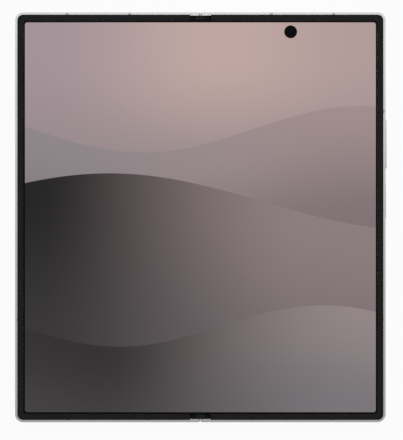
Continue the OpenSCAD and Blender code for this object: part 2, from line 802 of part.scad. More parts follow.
// Block fixed in the trough: slots for both arc rails and a channel for the slider
module hinge_blocks() {
  channel_w = 1.1;
  color("#8d9299") place() both_ends() difference() {
    along_y(module_y + channel_from - 1.6, module_y + block_end)
      polygon(trough(block_r, block_high));
    box(-pivot_x - 0.1, pivot_x + 0.1, 0, half_h, block_low, half_t);
    rail_slot(1, main_slot_y);
    rail_slot(-1, cover_slot_y);
    box(-channel_w, channel_w, module_y + channel_from, module_y + channel_to, 0, half_t);
    disc(0, module_y + post_y, post_r + 0.05, 0, half_t);
    for (x = [-2.2, 2.2]) {
      disc(x, module_y + post_y, spine_screw_r + 0.05, 0, half_t);
      disc(x, module_y + post_y, 0.65, block_high - head_t, half_t);
    }
  }
}

module spine_screws() {
  color("gray") place() {
    spine_screw_sites(spine_screw_r - 0.02, spine_screw_z + 0.03, block_high - head_t);
    spine_screw_sites(0.6, block_high - head_t, block_high);
  }
}

// Black stops that fill the gap in the bezel at both ends of the fold
module fold_guards() {
  neck_w = 2.6;
  color("#1c1c1c") place() both_ends() {
    along_y(guard_in, spine_h) polygon(trough(block_r, spine_top - 0.05));
    box(-neck_w / 2, neck_w / 2, guard_in, spine_h, spine_top - 0.1, screen_z);
    box(-guard_w / 2, guard_w / 2, guard_in, spine_h, screen_z - 0.1, screen_top - 0.05);
  }
}

slider_z0 = trough_z + 0.08;
slider_z1 = block_low - 0.05;
module sync_sliders() {
  color("goldenrod") place() for (s = [-1, 1])
    translate([0, s * module_y + (s < 0 ? -channel_to : channel_from) + 0.2, 0])
      box(-1, 1, 0, slider_l, slider_z0, slider_z1);
}

module torque_springs() {
  spring_l = channel_to - channel_from - slider_l - 0.4;
  spring_z = (trough_z + block_low) / 2;
  color("#9aa0a8") place() for (s = [-1, 1])
    translate([0, s * module_y + (s < 0 ? -channel_to : channel_from) + 0.3 + slider_l, spring_z])
      for (x = [-0.5, 0.5]) translate([x, 0, 0]) rotate([-90, 0, 0]) difference() {
        cylinder(h = spring_l, r = 0.45);
        translate([0, 0, -cut]) cylinder(h = spring_l + 2 * cut, r = 0.28);
      }
}

// Narrow plate under the fold, with guide posts into the hinge blocks
module fold_support() {
  color("#aeb6bf") place() {
    box(-support_w, support_w, -screen_y + 0.3, screen_y - 0.3, screen_z - wing_t, screen_z);
    both_ends() disc(0, module_y + post_y, post_r, block_low - 0.3, screen_z - wing_t / 2);
  }
}

module screen_fold() {
  color("#b09ba0") place() box(-seam_u, seam_u, -screen_y + 0.05, screen_y - 0.05, screen_z, screen_top);
}

module hinge_flex() {
  color("darkorange") place() both_ends() box(-flex_u, flex_u, flex_y - flex_w / 2, flex_y + flex_w / 2,
    flex_z, flex_z + flex_t);
}

cover_frame();
cover_antenna_breaks();
cover_bezel();
cover_glass();
cover_display();
cover_battery();
cover_board();
cover_board_chips();
cover_speaker();
cover_selfie_camera();
cover_support_plate();
screen_cover_side();
cover_hinge_arms();
cover_hinge_screws();
cover_board_screws();
cover_magnets();
sim_reader();
sim_tray();
cover_wing();
main_frame();
main_antenna_breaks();
main_bezel();
rear_glass();
camera_island();
camera_rings();
camera_lenses();
camera_modules();
flash_led();
main_battery();
main_board();
main_board_chips();
charge_board();
charging_coil();
usb_socket();
main_speaker();
vibration_motor();
key_switches();
inner_camera();
main_support_plate();
screen_main_side();
main_hinge_arms();
main_hinge_screws();
main_board_screws();
main_magnets();
main_wing();
volume_key();
power_key();
spine_cover();
hinge_blocks();
spine_screws();
fold_guards();
torque_springs();
sync_sliders();
fold_support();
screen_fold();
hinge_flex();
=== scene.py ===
"""Looks of a book-style foldable phone that lies open on its back with its inner screen lit.

Lengths in the classes are millimetres in the frame's own axes: X across both halves, Y along the
fold line, Z out of the screen. Z = 0 is the face of the rear camera rings, on which the phone
lies, and the backs of its two halves are 2 mm above it.
"""
from __future__ import annotations

import json
import logging
import math
from dataclasses import dataclass
from enum import Enum
from typing import Any, Iterable, Sequence

import bmesh
import bpy
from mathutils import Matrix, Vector

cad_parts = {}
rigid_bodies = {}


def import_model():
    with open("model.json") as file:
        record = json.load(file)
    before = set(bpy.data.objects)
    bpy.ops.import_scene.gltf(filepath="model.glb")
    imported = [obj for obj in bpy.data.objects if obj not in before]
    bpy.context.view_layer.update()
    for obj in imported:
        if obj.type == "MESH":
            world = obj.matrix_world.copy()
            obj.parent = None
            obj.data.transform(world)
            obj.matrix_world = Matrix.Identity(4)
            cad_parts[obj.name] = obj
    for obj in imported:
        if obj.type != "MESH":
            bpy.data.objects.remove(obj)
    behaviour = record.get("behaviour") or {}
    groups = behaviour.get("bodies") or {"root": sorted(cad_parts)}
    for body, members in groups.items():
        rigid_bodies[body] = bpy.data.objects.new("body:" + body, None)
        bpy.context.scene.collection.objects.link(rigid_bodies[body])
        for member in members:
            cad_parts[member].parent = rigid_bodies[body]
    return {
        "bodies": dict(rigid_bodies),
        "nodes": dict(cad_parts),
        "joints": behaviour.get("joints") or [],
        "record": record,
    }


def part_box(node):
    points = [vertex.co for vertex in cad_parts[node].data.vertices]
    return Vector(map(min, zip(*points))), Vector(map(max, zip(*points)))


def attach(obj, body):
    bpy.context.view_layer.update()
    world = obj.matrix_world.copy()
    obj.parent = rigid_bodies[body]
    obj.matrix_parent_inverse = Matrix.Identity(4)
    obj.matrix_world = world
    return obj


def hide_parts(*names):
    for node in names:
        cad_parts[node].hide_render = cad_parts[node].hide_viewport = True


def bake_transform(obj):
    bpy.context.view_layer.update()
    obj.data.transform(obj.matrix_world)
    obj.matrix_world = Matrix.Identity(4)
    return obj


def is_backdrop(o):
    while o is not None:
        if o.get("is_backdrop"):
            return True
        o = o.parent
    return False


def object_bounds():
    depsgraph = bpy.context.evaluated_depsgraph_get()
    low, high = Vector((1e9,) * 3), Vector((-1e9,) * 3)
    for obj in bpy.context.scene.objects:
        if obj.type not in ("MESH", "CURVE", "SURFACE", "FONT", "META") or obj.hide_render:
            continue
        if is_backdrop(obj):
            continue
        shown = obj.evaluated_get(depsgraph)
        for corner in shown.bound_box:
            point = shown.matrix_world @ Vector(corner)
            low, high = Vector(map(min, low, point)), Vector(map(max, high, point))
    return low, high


LOG = logging.getLogger("foldable_phone")
MM = 0.001
PHOTO_W = 403
PHOTO_H = 440

Point = tuple[float, float, float]
Colour = tuple[float, float, float]
Band = tuple[float, float, float]

# Half sizes, corner, rim, notch and gaps of the opened phone, as in the CAD source.
HALF_W = 71.6
HALF_L = 79.2
CORNER_R = 3.1
RIM_W = 0.87
RIM_R = CORNER_R - RIM_W
NOTCH_R = 0.8
FOLD_GAP = 0.1
GLASS_IN = 0.1
FIT_GAP = 0.03
FOLD_AXIS = (1.375, 5.075)
INNER_CAMERA = (34.9, 71.7)

# Points closer than WELD millimetres are one; angles between faces are in degrees.
WELD = 0.004
FLAT_ANGLE = 0.6
SHARP_ANGLE = 40.0


class Body(str, Enum):
    """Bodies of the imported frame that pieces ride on."""

    MAIN = "main_half"
    COVER = "cover_half"
    SPINE = "spine"
    SUPPORT = "fold_support"
    COVER_WING = "cover_wing"
    MAIN_WING = "main_wing"
    SLIDERS = "sync_sliders"
    VOLUME = "volume_key"
    POWER = "power_key"
    TRAY = "sim_tray"


def srgb(red: float, green: float, blue: float) -> Colour:
    """Returns the linear colour of an 8-bit display colour.

    Args:
        red: Red, 0 to 255.
        green: Green, 0 to 255.
        blue: Blue, 0 to 255.

    Returns:
        The colour in linear light.
    """

    def linear(value: float) -> float:
        """Returns one channel in linear light."""
        share = value / 255
        return share / 12.92 if share <= 0.04045 else ((share + 0.055) / 1.055) ** 2.4

    return linear(red), linear(green), linear(blue)


# ---------------------------------------------------------------- shader maths


class Num:
    """A number that varies over a surface, as a node socket with arithmetic."""

    def __init__(self, graph: "Wiring", socket: Any) -> None:
        """Keeps the graph that owns the socket."""
        self.graph = graph
        self.socket = socket

    def _math(self, operation: str, *values: Any) -> "Num":
        """Returns the result of a Math node on this number and the values."""
        inputs = {0: self, **{i + 1: v for i, v in enumerate(values)}}
        return self.graph.number("ShaderNodeMath", {"operation": operation}, inputs)

    def __add__(self, other: Any) -> "Num":
        """Returns the sum."""
        return self._math("ADD", other)

    def __radd__(self, other: Any) -> "Num":
        """Returns the sum, reflected."""
        return self._math("ADD", other)

    def __sub__(self, other: Any) -> "Num":
        """Returns the difference."""
        return self._math("SUBTRACT", other)

    def __rsub__(self, other: Any) -> "Num":
        """Returns the difference, reflected."""
        return self.graph.number("ShaderNodeMath", {"operation": "SUBTRACT"}, {0: other, 1: self})

    def __mul__(self, other: Any) -> "Num":
        """Returns the product."""
        return self._math("MULTIPLY", other)

    def __rmul__(self, other: Any) -> "Num":
        """Returns the product, reflected."""
        return self._math("MULTIPLY", other)

    def __truediv__(self, other: Any) -> "Num":
        """Returns the quotient."""
        return self._math("DIVIDE", other)

    def sin(self) -> "Num":
        """Returns the sine."""
        return self._math("SINE")

    def abs(self) -> "Num":
        """Returns the absolute value."""
        return self._math("ABSOLUTE")

    def high(self, other: Any) -> "Num":
        """Returns the larger of two numbers."""
        return self._math("MAXIMUM", other)

    def low(self, other: Any) -> "Num":
        """Returns the smaller of two numbers."""
        return self._math("MINIMUM", other)

    def power(self, exponent: float) -> "Num":
        """Returns this number raised to a power."""
        return self._math("POWER", exponent)

    def ramp(self, start: float, end: float) -> "Num":
        """Returns a smooth step from 0 to 1.

        Args:
            start: Value at which the step is still 0.
            end: Value from which it is 1; it may lie below the start.

        Returns:
            The step.
        """
        settings = {"interpolation_type": "SMOOTHSTEP"}
        inputs = {"Value": self, "From Min": start, "From Max": end, "To Min": 0.0, "To Max": 1.0}
        if start > end:
            inputs = {"Value": self, "From Min": end, "From Max": start, "To Min": 1.0, "To Max": 0.0}
        return self.graph.number("ShaderNodeMapRange", settings, inputs)


class Wiring:
    """Adds and links the nodes of any node tree."""

    def __init__(self, tree: bpy.types.NodeTree) -> None:
        """Keeps the tree."""
        self.tree = tree

    def node(self, kind: str, settings: dict[str, Any] | None = None,
             inputs: dict[Any, Any] | None = None) -> Any:
        """Adds a node.

        Args:
            kind: Blender's node type.
            settings: Properties of the node, set first.
            inputs: Values or links by socket name or number.

        Returns:
            The new node.
        """
        made = self.tree.nodes.new(kind)
        for key, value in (settings or {}).items():
            setattr(made, key, value)
        for key, value in (inputs or {}).items():
            socket = made.inputs[key]
            source = value.socket if isinstance(value, Num) else value
            if isinstance(source, bpy.types.NodeSocket):
                self.tree.links.new(source, socket)
            elif isinstance(source, tuple) and socket.type == "RGBA" and len(source) == 3:
                socket.default_value = (*source, 1.0)
            else:
                socket.default_value = source
        return made

    def number(self, kind: str, settings: dict[str, Any], inputs: dict[Any, Any],
               output: Any = 0) -> Num:
        """Adds a node and returns one of its outputs as a number."""
        return Num(self, self.node(kind, settings, inputs).outputs[output])


class Graph(Wiring):
    """Node tree of one material."""

    def __init__(self, name: str) -> None:
        """Makes an empty material.

        Args:
            name: The material's name.
        """
        self.material = bpy.data.materials.new(name)
        self.material.use_nodes = True
        super().__init__(self.material.node_tree)
        self.tree.nodes.clear()
        self.output = self.tree.nodes.new("ShaderNodeOutputMaterial")
        self._place: Any = None

    def place(self) -> Any:
        """Finds the object coordinates, with one node for the whole tree.

        Returns:
            The socket, in metres.
        """
        if self._place is None:
            self._place = self.node("ShaderNodeTexCoord").outputs["Object"]
        return self._place

    def axes(self) -> tuple[Num, Num, Num]:
        """Returns the object coordinates in millimetres."""
        parts = self.node("ShaderNodeSeparateXYZ", {}, {0: self.place()})
        return tuple(Num(self, parts.outputs[i]) * (1 / MM) for i in range(3))

    def stretched(self, scale: Point) -> Any:
        """Returns object coordinates scaled apart along the axes."""
        settings = {"operation": "MULTIPLY"}
        return self.node("ShaderNodeVectorMath", settings, {0: self.place(), 1: scale}).outputs[0]

    def noise(self, size: float, detail: float = 3.0, where: Any = None) -> Num:
        """Returns noise whose patches are about size millimetres wide."""
        inputs = {"Vector": where or self.place(), "Scale": 1 / (size * MM), "Detail": detail}
        return self.number("ShaderNodeTexNoise", {}, inputs, "Fac")

    def cells(self, size: float) -> Num:
        """Returns a cell pattern whose cells are about size millimetres wide."""
        inputs = {"Vector": self.place(), "Scale": 1 / (size * MM)}
        return self.number("ShaderNodeTexVoronoi", {}, inputs, "Distance")

    def mix(self, first: Any, second: Any, share: Any) -> Any:
        """Mixes two colours.

        Args:
            first: Colour or socket where the share is 0.
            second: Colour or socket where the share is 1.
            share: Number or socket.

        Returns:
            The mixed colour's socket.
        """
        settings = {"data_type": "RGBA"}
        made = self.node("ShaderNodeMix", settings, {0: share, 6: first, 7: second})
        return made.outputs[2]

    def bump(self, height: Num, distance: float, strength: float = 0.5) -> Any:
        """Returns a normal from a height, with distance in millimetres."""
        inputs = {"Height": height, "Distance": distance * MM, "Strength": strength}
        return self.node("ShaderNodeBump", {}, inputs).outputs[0]

    def surface(self, **inputs: Any) -> bpy.types.Material:
        """Ends the tree in one Principled shader.

        Args:
            inputs: The shader's inputs, with their names in small letters and underscores.

        Returns:
            The material.
        """
        named = {key.replace("_", " ").title(): value for key, value in inputs.items()}
        fixes = {"Ior": "IOR", "Specular Ior Level": "Specular IOR Level"}
        named = {fixes.get(key, key): value for key, value in named.items()}
        shader = self.node("ShaderNodeBsdfPrincipled", {}, named)
        self.tree.links.new(shader.outputs[0], self.output.inputs[0])
        return self.material


# ---------------------------------------------------------------- finishes


def darker(colour: Colour, share: float) -> Colour:
    """Returns a colour scaled down to a share of its strength."""
    return tuple(channel * share for channel in colour)


def distance(across: Num, along: Num) -> Num:
    """Returns the length of a line with these two sides."""
    return (across * across + along * along).power(0.5)


@dataclass(frozen=True)
class Anodised:
    """Satin anodised aluminium with a very fine blasted grain."""

    name: str
    colour: Colour
    roughness: float = 0.3
    grain: float = 0.12
    grain_height: float = 0.004
    grain_rough: float = 0.06
    worn: float = 14.0
    worn_rough: float = 0.05
    worn_tone: float = 0.93

    def make(self) -> bpy.types.Material:
        """Wires the satin metal.

        Returns:
            The material.
        """
        graph = Graph(self.name)
        grain = graph.noise(self.grain, detail=4.0)
        worn = graph.noise(self.worn, detail=2.0)
        base = graph.mix(self.colour, darker(self.colour, self.worn_tone), worn)
        rough = self.roughness + worn * self.worn_rough + grain * self.grain_rough
        return graph.surface(base_color=base, metallic=1.0, roughness=rough,
                             normal=graph.bump(grain, self.grain_height))


@dataclass(frozen=True)
class SpineMetal:
    """Satin aluminium outside, dark near the top and within a distance of the fold axis.

    A radius below zero leaves out the dark about the axis. On the spine the dark is painted shade, of the
    gap beside the fold guards at its top and of the hinge cavity inside it; on the fold guards the dark top
    is their own black.
    """

    name: str
    colour: Colour
    black_and_shade: Colour
    black_and_shade_r: float
    black_and_shade_z: float
    axis: tuple[float, float] = FOLD_AXIS
    roughness: float = 0.3
    grain: float = 0.12
    grain_height: float = 0.004
    grain_rough: float = 0.06
    radius_blur: float = 0.06
    top_blur: float = 0.04
    black_and_shade_metal: float = 0.9
    black_and_shade_rough: float = 0.2
    specular: float = 0.05

    def make(self) -> bpy.types.Material:
        """Wires the metal and its dark places: painted shade on the spine, and the guards' own black top.

        Returns:
            The material.
        """
        graph = Graph(self.name)
        x, _, z = graph.axes()
        # Dark mask: on the spine it is painted shade, near the top beside the guards and inside about the
        # fold axis; on the guards it is their own black top.
        across = (x.abs() - self.axis[0]).high(0.0)
        inside = distance(across, z - self.axis[1]).ramp(self.black_and_shade_r, self.black_and_shade_r - self.radius_blur)
        dark = inside.high(z.ramp(self.black_and_shade_z - self.top_blur, self.black_and_shade_z))
        grain = graph.noise(self.grain, detail=4.0)
        base = graph.mix(self.colour, self.black_and_shade, dark)
        rough = self.roughness + dark * self.black_and_shade_rough + grain * self.grain_rough
        return graph.surface(base_color=base, metallic=1.0 - dark * self.black_and_shade_metal, roughness=rough,
                             specular_ior_level=self.specular,
                             normal=graph.bump(grain, self.grain_height))


@dataclass(frozen=True)
class Moulded:
    """Moulded plastic or paint with a fine pebble grain."""

    name: str
    colour: Colour
    roughness: float = 0.5
    grain: float = 0.15
    specular: float = 0.4
    grain_height: float = 0.003
    grain_rough: float = 0.1
    cloud: float = 6.0
    cloud_tone: float = 0.8

    def make(self) -> bpy.types.Material:
        """Wires the grained plastic.

        Returns:
            The material.
        """
        graph = Graph(self.name)
        grain = graph.cells(self.grain)
        base = graph.mix(self.colour, darker(self.colour, self.cloud_tone), graph.noise(self.cloud))
        rough = self.roughness + grain * self.grain_rough
        return graph.surface(base_color=base, roughness=rough, specular_ior_level=self.specular,
                             normal=graph.bump(grain, self.grain_height))


@dataclass(frozen=True)
class FrostedGlass:
    """Rear glass, etched matt on the outside over a pale pearl layer."""

    name: str
    colour: Colour
    roughness: float = 0.34
    etch: float = 0.09
    etch_height: float = 0.002
    etch_rough: float = 0.1
    pearl: float = 26.0
    pearl_tone: float = 0.94
    metallic: float = 0.25
    coat: float = 0.35
    coat_rough: float = 0.22

    def make(self) -> bpy.types.Material:
        """Wires the etched glass.

        Returns:
            The material.
        """
        graph = Graph(self.name)
        etch = graph.noise(self.etch, detail=2.0)
        pearl = graph.noise(self.pearl, detail=1.0)
        base = graph.mix(self.colour, darker(self.colour, self.pearl_tone), pearl)
        rough = self.roughness + etch * self.etch_rough
        return graph.surface(base_color=base, metallic=self.metallic, roughness=rough,
                             coat_weight=self.coat, coat_roughness=self.coat_rough,
                             normal=graph.bump(etch, self.etch_height))


@dataclass(frozen=True)
class CoverGlass:
    """Clear glass over the dark cover display, with the display's edge and camera just showing."""

    name: str
    middle: tuple[float, float]
    half: tuple[float, float]
    camera: tuple[float, float]
    display: Colour = srgb(20, 21, 25)
    border: Colour = srgb(9, 9, 10)
    border_blur: float = 0.1
    ring: Colour = srgb(92, 94, 99)
    ring_r: float = 1.75
    ring_edge: tuple[float, float] = (0.28, 0.12)
    pupil: Colour = srgb(14, 16, 38)
    pupil_edge: tuple[float, float] = (1.0, 0.8)
    roughness: float = 0.03
    smear: float = 9.0
    smear_rough: float = 0.03
    coat: float = 0.6
    coat_rough: float = 0.02

    def make(self) -> bpy.types.Material:
        """Wires the glass with the dark display under it.

        Returns:
            The material.
        """
        graph = Graph(self.name)
        x, y, _ = graph.axes()
        across = (x - self.middle[0]).abs() - self.half[0]
        along = (y - self.middle[1]).abs() - self.half[1]
        outside = across.high(along).ramp(-self.border_blur, self.border_blur)
        radius = distance(x - self.camera[0], y - self.camera[1])
        base = graph.mix(self.display, self.border, outside)
        base = graph.mix(base, self.ring, (radius - self.ring_r).abs().ramp(*self.ring_edge))
        base = graph.mix(base, self.pupil, radius.ramp(*self.pupil_edge))
        rough = self.roughness + graph.noise(self.smear) * self.smear_rough
        return graph.surface(base_color=base, roughness=rough, coat_weight=self.coat,
                             coat_roughness=self.coat_rough)


@dataclass(frozen=True)
class Sky:
    """Tones of the wallpaper above its hills: from left to right, and low over the hills."""

    left: Colour = srgb(163, 146, 152)
    middle: Colour = srgb(190, 165, 160)
    right: Colour = srgb(176, 155, 153)
    low: Colour = srgb(146, 134, 137)
    left_turn: tuple[float, float] = (-62.0, 6.0)
    right_turn: tuple[float, float] = (10.0, 66.0)
    rise: tuple[float, float] = (8.0, 62.0)

    def paint(self, graph: Graph, x: Num, y: Num) -> Any:
        """Mixes the sky's colour at a place.

        Args:
            graph: Tree of the screen's material.
            x: Distance from the fold line, in millimetres.
            y: Height from the middle, in millimetres.

        Returns:
            A colour socket.
        """
        tone = graph.mix(self.left, self.middle, x.ramp(*self.left_turn))
        tone = graph.mix(tone, self.right, x.ramp(*self.right_turn))
        return graph.mix(self.low, tone, y.ramp(*self.rise))


@dataclass(frozen=True)
class Hill:
    """One band of the wallpaper: its crest line and its tones at the top and lower down."""

    level: float
    swell: float
    shift: float
    reach: float
    turn: float
    fade: float
    left: Colour
    left_low: Colour
    right: Colour
    right_low: Colour
    spread: float = 52.0
    blur: float = 0.15

    def paint(self, graph: Graph, behind: Any, x: Num, y: Num) -> Any:
        """Lays this hill in front of a picture.

        Args:
            graph: Tree of the screen's material.
            behind: Colour socket of the picture so far.
            x: Distance from the fold line, in millimetres.
            y: Height from the middle, in millimetres.

        Returns:
            A colour socket.
        """
        depth = self.level + self.swell * ((x + self.shift) / self.reach).sin() - y
        down = depth.ramp(0.0, self.fade)
        left = graph.mix(self.left, self.left_low, down)
        right = graph.mix(self.right, self.right_low, down)
        body = graph.mix(left, right, x.ramp(self.turn - self.spread, self.turn + self.spread))
        return graph.mix(behind, body, depth.ramp(-self.blur, self.blur))


HILLS = (
    Hill(level=34.0, swell=9.0, shift=-20.0, reach=27.0, turn=0.0, fade=46.0,
         left=srgb(143, 134, 137), left_low=srgb(120, 114, 116),
         right=srgb(160, 141, 141), right_low=srgb(128, 115, 117)),
    Hill(level=6.0, swell=11.0, shift=95.0, reach=38.0, turn=-12.0, fade=70.0,
         left=srgb(37, 36, 37), left_low=srgb(58, 56, 57),
         right=srgb(140, 125, 126), right_low=srgb(112, 104, 106)),
    Hill(level=-42.0, swell=8.0, shift=-8.0, reach=25.0, turn=12.0, fade=40.0,
         left=srgb(52, 50, 51), left_low=srgb(70, 67, 69),
         right=srgb(146, 134, 135), right_low=srgb(121, 117, 120)),
)


@dataclass(frozen=True)
class LitScreen:
    """Inner screen with a lit abstract wallpaper of soft hills."""

    name: str
    half_x: float
    half_y: float
    camera: tuple[float, float]
    camera_r: float
    corner_r: float = 0.9
    edge_blur: float = 0.06
    camera_blur: float = 0.12
    lit_z: tuple[float, float] = (5.9, 5.98)
    unlit: Colour = srgb(6, 6, 6)
    glass: Colour = srgb(5, 5, 6)
    roughness: float = 0.09
    smear: float = 11.0
    smear_rough: float = 0.03
    specular: float = 0.04

    def lit(self, x: Num, y: Num, z: Num) -> Num:
        """Marks the picture off from its border, its camera hole and the screen's sides.

        Args:
            x: Distance from the fold line, in millimetres.
            y: Height from the middle, in millimetres.
            z: Height above the floor, in millimetres.

        Returns:
            1 on the picture and 0 elsewhere.
        """
        across = (x.abs() - (self.half_x - self.corner_r)).high(0.0)
        along = (y.abs() - (self.half_y - self.corner_r)).high(0.0)
        inside = distance(across, along).ramp(self.corner_r + self.edge_blur, self.corner_r - self.edge_blur)
        from_camera = distance(x - self.camera[0], y - self.camera[1])
        inside = inside * from_camera.ramp(self.camera_r, self.camera_r + self.camera_blur)
        return inside * z.ramp(*self.lit_z)

    def make(self) -> bpy.types.Material:
        """Wires the lit picture under its glass.

        Returns:
            The material.
        """
        graph = Graph(self.name)
        x, y, z = graph.axes()
        picture = Sky().paint(graph, x, y)
        for hill in HILLS:
            picture = hill.paint(graph, picture, x, y)
        glow = graph.mix(self.unlit, picture, self.lit(x, y, z))
        rough = self.roughness + graph.noise(self.smear, detail=2.0) * self.smear_rough
        return graph.surface(base_color=self.glass, roughness=rough, specular_ior_level=self.specular,
                             emission_color=glow, emission_strength=1.0)


@dataclass(frozen=True)
class Brushed:
    """Brushed or ground steel with lines along one axis."""

    name: str
    colour: Colour
    lines: Point = (1.0, 0.04, 1.0)
    roughness: float = 0.32
    line: float = 0.12
    line_height: float = 0.004
    line_rough: float = 0.12
    line_tone: float = 0.82

    def make(self) -> bpy.types.Material:
        """Wires the lined metal.

        Returns:
            The material.
        """
        graph = Graph(self.name)
        lines = graph.noise(self.line, where=graph.stretched(self.lines))
        base = graph.mix(self.colour, darker(self.colour, self.line_tone), lines)
        rough = self.roughness + lines * self.line_rough
        return graph.surface(base_color=base, metallic=1.0, roughness=rough,
                             normal=graph.bump(lines, self.line_height))


@dataclass(frozen=True)
class SocketShell:
    """Drawn steel shell round a tongue of black plastic."""

    name: str
    colour: Colour
    middle: tuple[float, float]
    tongue: tuple[float, float]
    face_y: float
    plastic: Colour = srgb(24, 24, 26)
    side_blur: tuple[float, float] = (0.06, 0.04)
    face_blur: tuple[float, float] = (0.06, 0.02)
    lines: Point = (1.0, 0.1, 1.0)
    line: float = 0.12
    line_height: float = 0.004
    line_rough: float = 0.12
    line_tone: float = 0.8
    roughness: float = 0.26
    plastic_rough: float = 0.2

    def make(self) -> bpy.types.Material:
        """Wires the steel shell and its plastic tongue.

        Returns:
            The material.
        """
        graph = Graph(self.name)
        x, y, z = graph.axes()
        beside = (x - self.middle[0]).abs() - self.tongue[0] / 2
        above = (z - self.middle[1]).abs() - self.tongue[1] / 2
        behind = y.ramp(self.face_y - self.face_blur[0], self.face_y - self.face_blur[1])
        plastic = beside.high(above).ramp(*self.side_blur) * behind
        lines = graph.noise(self.line, where=graph.stretched(self.lines))
        base = graph.mix(self.colour, darker(self.colour, self.line_tone), lines)
        base = graph.mix(base, self.plastic, plastic)
        rough = self.roughness + lines * self.line_rough + plastic * self.plastic_rough
        return graph.surface(base_color=base, metallic=1.0 - plastic, roughness=rough,
                             normal=graph.bump(lines, self.line_height))


@dataclass(frozen=True)
class CircuitBoard:
    """Solder-masked board with faint copper tracks."""

    name: str
    colour: Colour
    tracks_per_mm: float = 0.42
    track_gap: float = 0.03
    track_shift: float = 0.35
    track_squash: float = 0.6
    track_height: float = 0.02
    glow: tuple[float, float] = (2.2, 0.01)
    roughness: float = 0.35
    track_rough: float = 0.15
    coat: float = 0.4

    def make(self) -> bpy.types.Material:
        """Wires the masked board and its tracks.

        Returns:
            The material.
        """
        graph = Graph(self.name)
        tracks = graph.number("ShaderNodeTexBrick",
                              {"offset": self.track_shift, "squash": self.track_squash},
                              {"Vector": graph.place(), "Scale": self.tracks_per_mm / MM,
                               "Mortar Size": self.track_gap}, "Fac")
        gain, lift = self.glow
        paler = tuple(min(1.0, channel * gain + lift) for channel in self.colour)
        base = graph.mix(self.colour, paler, tracks)
        rough = self.roughness + tracks * self.track_rough
        return graph.surface(base_color=base, roughness=rough, coat_weight=self.coat,
                             normal=graph.bump(tracks, self.track_height))


@dataclass(frozen=True)
class LensGlass:
    """Coated camera lens: nearly black, with a blue and a violet cast in rings.

    A band is a place, an outer and an inner half width, as shares of the lens radius.
    """

    name: str
    centres: tuple[tuple[float, float], ...]
    radius: float
    coat: float = 0.25
    specular: float = 0.3
    rings: Colour = srgb(158, 160, 164)
    core: Colour = srgb(34, 44, 104)
    halo: Colour = srgb(66, 32, 84)
    glass: Colour = srgb(7, 8, 12)
    core_edge: tuple[float, float] = (0.1, 0.42)
    halo_band: Band = (0.34, 0.07, 0.02)
    ring_bands: tuple[Band, ...] = ((0.62, 0.035, 0.015), (0.9, 0.03, 0.015))
    roughness: float = 0.03
    smear: float = 3.0
    smear_rough: float = 0.02
    coat_rough: float = 0.01

    def share(self, x: Num, y: Num) -> Num:
        """Measures how far a place is from the nearest lens middle.

        Args:
            x: Place across both halves, in millimetres.
            y: Place along the fold line, in millimetres.

        Returns:
            The distance as a share of the lens radius.
        """
        nearest, *others = [distance(x - cx, y - cy) for cx, cy in self.centres]
        for other in others:
            nearest = nearest.low(other)
        return nearest / self.radius

    def make(self) -> bpy.types.Material:
        """Wires the coated lens and its rings.

        Returns:
            The material.
        """
        graph = Graph(self.name)
        x, y, _ = graph.axes()
        share = self.share(x, y)
        base = graph.mix(self.core, self.glass, share.ramp(*self.core_edge))
        bands = [(self.halo, self.halo_band), *((self.rings, band) for band in self.ring_bands)]
        for tone, (place, outer, inner) in bands:
            base = graph.mix(base, tone, (share - place).abs().ramp(outer, inner))
        rough = self.roughness + graph.noise(self.smear) * self.smear_rough
        return graph.surface(base_color=base, roughness=rough, coat_weight=self.coat,
                             coat_roughness=self.coat_rough, specular_ior_level=self.specular)


@dataclass(frozen=True)
class WoundCopper:
    """Enamelled copper wire with fine strands."""

    name: str
    colour: Colour
    strand: float = 0.2
    strand_height: float = 0.02
    strand_rough: float = 0.2
    strand_tone: float = 0.6
    metallic: float = 0.9
    roughness: float = 0.3

    def make(self) -> bpy.types.Material:
        """Wires the stranded copper.

        Returns:
            The material.
        """
        graph = Graph(self.name)
        strand = graph.noise(self.strand, detail=2.0)
        base = graph.mix(self.colour, darker(self.colour, self.strand_tone), strand)
        rough = self.roughness + strand * self.strand_rough
        return graph.surface(base_color=base, metallic=self.metallic, roughness=rough,
                             normal=graph.bump(strand, self.strand_height))


@dataclass(frozen=True)
class Ribbed:
    """Translucent pale plastic with fine round ribs, as on a flash window."""

    name: str
    colour: Colour
    centre: tuple[float, float]
    ribs: float = 24.0
    rib_height: float = 0.03
    rib_rough: float = 0.1
    roughness: float = 0.18
    core: Colour = srgb(226, 196, 92)
    core_edge: tuple[float, float] = (1.3, 0.6)
    coat: float = 0.7

    def make(self) -> bpy.types.Material:
        """Wires the ribbed window.

        Returns:
            The material.
        """
        graph = Graph(self.name)
        x, y, _ = graph.axes()
        radius = distance(x - self.centre[0], y - self.centre[1])
        ribs = (radius * self.ribs).sin() * 0.5 + 0.5
        base = graph.mix(self.colour, self.core, radius.ramp(*self.core_edge))
        return graph.surface(base_color=base, roughness=self.roughness + ribs * self.rib_rough,
                             coat_weight=self.coat, normal=graph.bump(ribs, self.rib_height))


ALUMINIUM = (0.69, 0.70, 0.71)
SILVER = Anodised("satin_silver_aluminium", ALUMINIUM)
POLISHED = Anodised("polished_ring_metal", (0.78, 0.79, 0.80), roughness=0.14, grain=0.3)
ISLAND = Anodised("island_metal", (0.60, 0.61, 0.63), roughness=0.36)
# The spine's dark top and inside are painted shade of the gap beside the guards and of the hinge cavity.
SPINE = SpineMetal("spine_aluminium", ALUMINIUM, srgb(24, 24, 25), black_and_shade_r=2.54, black_and_shade_z=4.86)
BREAKS = Moulded("antenna_plastic", (0.72, 0.73, 0.73), roughness=0.42)
BEZEL = Moulded("bezel_black", srgb(39, 39, 39), roughness=0.55, grain=0.12, specular=0.05)
